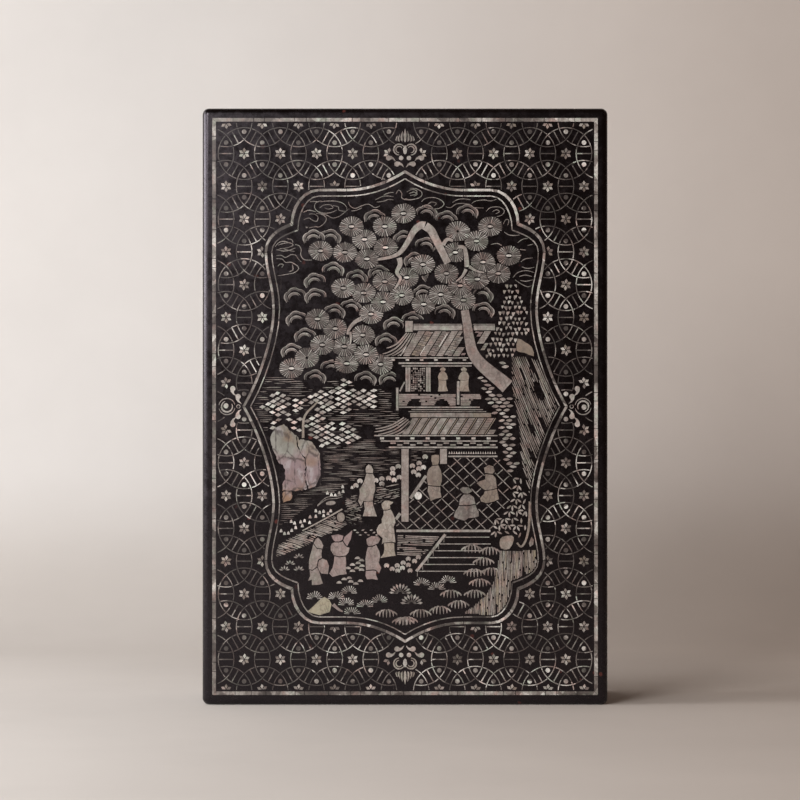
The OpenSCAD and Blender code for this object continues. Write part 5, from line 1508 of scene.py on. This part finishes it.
VINE_ZONE = [(41.6, 27), (43, 18.6), (46.4, 9.6), (49.6, 3.4), (52, -1), (53, -5), (57.4, -7),
             (57.6, -25.8), (60, -32), (61, -40), (66, -42), (71.6, -42), (70.6, -28), (70.3, -19.6),
             (69.7, -11.2), (68.2, -2.8), (66.6, 5.6), (65.4, 11.3), (65.2, 30), (58, 28.4), (54, 27)]
VINE_CLEARANCE = 9


def plants():
    shells = Inlay()
    draw = random.Random(101)
    for u, v in GRASSES:
        for k in range(-3, 4):
            blade = curve([(u + out * k, v + rise + bow * k * k) for out, rise, bow in BLADE], 3)
            if all(in_picture(p) for p in blade):
                shells.plate(ribbon(blade, (0.3, 0.95, 0.95, 0.3)),
                             draw.uniform(0.26, 0.6), draw.uniform(-0.2, 0.3))
    for u, v in FANS:
        foot = (u, v - 2.2)
        for i in range(11):
            a = 8 + 16.4 * i
            reach = (1.5, 5.4 * draw.uniform(0.86, 1.04))
            shells.strip([polar(foot, r, a, 0.92) for r in reach], 0.16, 0.6, draw.uniform(0.45, 0.85))
    for u, v in PETAL_FANS:
        foot = (u, v - 2)
        for i in range(9):
            a = 8 + 20.5 * i
            shells.plate(lozenge(polar(foot, 5.2, a, 0.9), 3.6, 1.5, a, 0.6), draw.uniform(0.4, 0.66))
            shells.strip([polar(foot, r, a, 0.9) for r in (1.4, 3.2)], 0.2, 0.3, 0.36)
    shells.lay("grass_blades", PICTURE_PEARL, "ground_plants")

    shells = Inlay()
    for i in range(15):
        for j in range(11):
            p = near(draw, 48.6 + 2.75 * j + 1.4 * (i % 2), 28.4 + 3.25 * i, 0.5, 0.6)
            if (inside(p, DROP_ZONE) and in_picture((p[0] + 1.6, p[1])) and not in_heads(p, 1.4)
                    and off_trunk(p)):
                size = draw.uniform(0.75, 1.08)
                lean = draw.uniform(-0.35, 0.35)
                shells.plate([(p[0] + size * (x + lean * y), p[1] + size * y) for x, y in DROP],
                             draw.uniform(0.34, 0.8), draw.uniform(-0.25, 0.25))
    taken = []

    def sprout(shape, tone):
        """Lays a leaf where it overlaps none that is there already."""
        others = [q for q in taken if apart(shape[0], q[0]) < VINE_CLEARANCE]
        if not (any(inside(p, q) for q in others for p in shape)
                or any(inside(p, shape) for q in others for p in q)):
            taken.append(shape)
            shells.plate(shape, draw.uniform(*tone), draw.uniform(-0.2, 0.35))

    for i in range(34):
        for j in range(9):
            p = near(draw, 38 + 4.4 * j + 2.2 * (i % 2), 31 - 2.2 * i, 0.5, 0.25)
            shape = leaf(p, draw.uniform(3.8, 4.7), draw.uniform(1.5, 2.1), draw.uniform(-12, 12))
            if all(inside(q, VINE_ZONE) and off_trunk(q) for q in shape):
                sprout(shape, (0.3, 0.74))
    for i in range(10):
        for j in range(5):
            c = near(draw, 53.4 + 5.2 * j + 2.6 * (i % 2), -40 - 4.1 * i, 0.6, 0.5)
            for k in range(7):
                a = draw.uniform(-6, 6) - 176 + 28.6 * k
                shape = leaf(polar(c, 2.4, a, 0.9), 3.6, 1.2, a)
                if all(inside(q, SPRAY_ZONE) and in_picture(q) for q in shape):
                    sprout(shape, (0.38, 0.76))
    shells.lay("vine_sprays", PICTURE_PEARL, "vine_leaves")


plants()


# Lotus flowers on the axes, drawn outward from the frame's points
def comma(du, dv):
    """A curled petal with a round head."""
    head = [polar((5 + du, 3.9 + dv), 1.6, a) for a in range(120, -151, -30)]
    return [(0.5 + du, 1.7 + dv), (1.6 + du, 3.9 + dv), (3.2 + du, 5.1 + dv), *head, (2.4 + du, 3.2 + dv)]


def arch(c, r, w, a0, a1):
    """An arc of a ring, narrowed at both ends."""
    rim = [polar(c, r - w / 2, a0 + (a1 - a0) * i / 12) for i in range(13)]
    return ribbon(rim, (0.5 * w, w, w, 0.5 * w))


HEART = [(0, 15.4), (1.3, 13.2), (0.9, 10.6), (0, 9.8), (-0.9, 10.6), (-1.3, 13.2)]
TOP_FLAME = [(0, 25.8), (0.9, 22.4), (0.7, 18.4), (0, 17.2), (-0.7, 18.4), (-0.9, 22.4)]
FLAMES = [
    [(1.5, 17.6), (2.6, 18.4), (2.7, 21), (1.5, 24.4), (1.6, 20.6)],
    [(3.3, 17.6), (4.6, 18.2), (4.4, 20.2), (2.9, 22.6), (3.5, 20)],
    [(5.3, 17.8), (6, 18.8), (5.4, 20.6), (4.4, 21.4), (5, 19.6)],
]


def end_lotus(shells, way, light, green):
    def put(points, side=1):
        return [(way * side * u * END_PART, way * (TIP_V + v * END_PART)) for u, v in points]

    shells.plate(put(HEART), 0.66 + light)
    shells.plate(put(TOP_FLAME), 0.5 + light, green)
    for side in (1, -1):
        shells.plate(put(comma(0, 0), side), 0.54 + light, 0.2)
        shells.plate(put(comma(5.2, 3.7), side), 0.5 + light, 0.1)
        shells.plate(put(oval((2.4, 7.6), 1.4, 1.4, 12), side), 0.64 + light)
        shells.plate(put(arch((3.6, 12.8), 3.8, 0.9, 150, -90), side), 0.5 + light, green)
        shells.plate(put(arch((3.6, 12.8), 2.4, 0.8, 150, -90), side), 0.44 + light, green)
        for k, flame in enumerate(FLAMES):
            shells.plate(put(flame, side), 0.46 + light - 0.04 * k, green)


def side_lotus(shells, way):
    def put(points, side=1):
        return [(way * (TIP_U + v * SIDE_PART), -way * side * u * SIDE_PART) for u, v in points]

    eye = (0, 9.3)
    curl = [polar(eye, 3.3, a) for a in range(20, 301, 20)]
    shells.plate(put(arch(eye, 5.2, 0.6, 80, -75)), 0.5)
    shells.plate(put(arch(eye, 5.2, 0.6, 260, 105)), 0.46)
    shells.plate(put(ribbon(curl, (0.3, 1.1, 0.9, 0.3))), 0.62)
    shells.plate(put(oval((0.4, 9.9), 1.6, 1.5, 12)), 0.66)
    shells.plate(put(arch((0, 2.4), 1.3, 0.5, 170, -170)), 0.5)
    for side in (1, -1):
        shells.plate(put(comma(1, -1.3), side), 0.68, 0.1)
        shells.plate(put(comma(5.8, 1.9), side), 0.7, 0.1)


def lotus_flowers():
    shells = Inlay()
    end_lotus(shells, 1, 0.0, 0.05)
    end_lotus(shells, -1, 0.12, -0.25)
    for way in (1, -1):
        side_lotus(shells, way)
    shells.lay("lotus_petals", PICTURE_PEARL, "lotus_buds")


lotus_flowers()


# Studio: a sheet of paper that sweeps up behind the box, three lamps, a faint warm world and the camera
PAPER_HALF = 6.0
PAPER_FRONT, SWEEP_START, SWEEP_RADIUS, PAPER_TOP = -7.0, 0.36, 0.3, 2.6
SWEEP_STEPS = 12
WARM_WHITE = (1.0, 0.99, 0.985)
COOL_WHITE = (0.95, 0.97, 1.0)
WORLD_COLOUR, WORLD_STRENGTH = (1.0, 0.6, 0.4, 1), 0.08
CAMERA_PLACE = (-0.0031, -0.046 - 1.849, 0.188)
LENS, SENSOR = 135, 36


def stage():
    """The paper, which the camera sees through from behind. Its colour carries painted shade: darker and
    warmer towards the right for the box's shadow, and darker at the floor.
    """
    bm = bmesh.new()
    profile = [(PAPER_FRONT, 0.0), (SWEEP_START, 0.0)]
    for i in range(1, SWEEP_STEPS + 1):
        a = math.radians(90 * i / SWEEP_STEPS)
        profile.append((SWEEP_START + SWEEP_RADIUS * math.sin(a), SWEEP_RADIUS * (1 - math.cos(a))))
    profile.append((SWEEP_START + SWEEP_RADIUS, PAPER_TOP))
    left, right = [[bm.verts.new((x, y, z)) for y, z in profile] for x in (-PAPER_HALF, PAPER_HALF)]
    for i in range(len(profile) - 1):
        bm.faces.new((left[i], right[i], right[i + 1], left[i + 1])).smooth = True
    mesh = bpy.data.meshes.new("backdrop")
    bm.to_mesh(mesh)
    bm.free()
    f = Finish("backdrop_paper_and_painted_shade")
    mottle = f.noise(3.2, 5.0, 0.6)
    colour = f.ramp(mottle, (0.3, (0.69, 0.665, 0.641)), (0.7, (0.76, 0.734, 0.708)))
    # Painted shade: the paper turns darker and warmer towards the right, standing in for the box's shadow
    # and the light's falloff.
    colour = f.tinted(f.between(f.axis(0), -0.25, 0.4), colour, (0.93, 0.86, 0.81))
    # Painted shade: the paper turns darker low down at the floor, where less light falls.
    colour = f.tinted(f.between(f.axis(2), 0.03, 0.14, 1.0, 0.0), colour, (0.84, 0.815, 0.79))
    behind = f.add("ShaderNodeNewGeometry", output="Backfacing")
    seen = f.add("ShaderNodeLightPath", output="Is Camera Ray")
    mesh.materials.append(f.give(Base_Color=colour, Roughness=0.9, Alpha=1 - behind * seen))
    obj = bpy.data.objects.new("backdrop", mesh)
    bpy.context.scene.collection.objects.link(obj)


def lamp(name, place, aim, size, watts, colour):
    data = bpy.data.lights.new(name, "AREA")
    data.shape = "RECTANGLE"
    data.size, data.size_y = size
    data.energy = watts
    data.color = colour
    obj = bpy.data.objects.new(name, data)
    obj.location = place
    obj.rotation_euler = (Vector(aim) - Vector(place)).to_track_quat("-Z", "Y").to_euler()
    bpy.context.scene.collection.objects.link(obj)


stage()
lamp("key_softbox", (-0.8, -1.53, 0.87), (0, 0, 0.2), (0.7, 0.7), 19, WARM_WHITE)
lamp("left_panel", (-1.35, -0.1, 0.7), (0.1, 0.5, 0.2), (0.8, 1.1), 12.5, WARM_WHITE)
lamp("edge_strip", (-0.95, -0.48, 0.36), (0, -0.48, 0.36), (0.9, 0.28), 7, COOL_WHITE)

world = bpy.data.worlds.new("studio")
bpy.context.scene.world = world
world.use_nodes = True
background = world.node_tree.nodes["Background"]
background.inputs[0].default_value = WORLD_COLOUR
background.inputs[1].default_value = WORLD_STRENGTH

camera_data = bpy.data.cameras.new("camera")
camera_data.lens = LENS
camera_data.sensor_width = SENSOR
camera = bpy.data.objects.new("camera", camera_data)
camera.location = CAMERA_PLACE
camera.rotation_euler = (math.radians(90), 0, 0)
bpy.context.scene.collection.objects.link(camera)
bpy.context.scene.camera = camera
bpy.context.scene.view_settings.view_transform = "Standard"
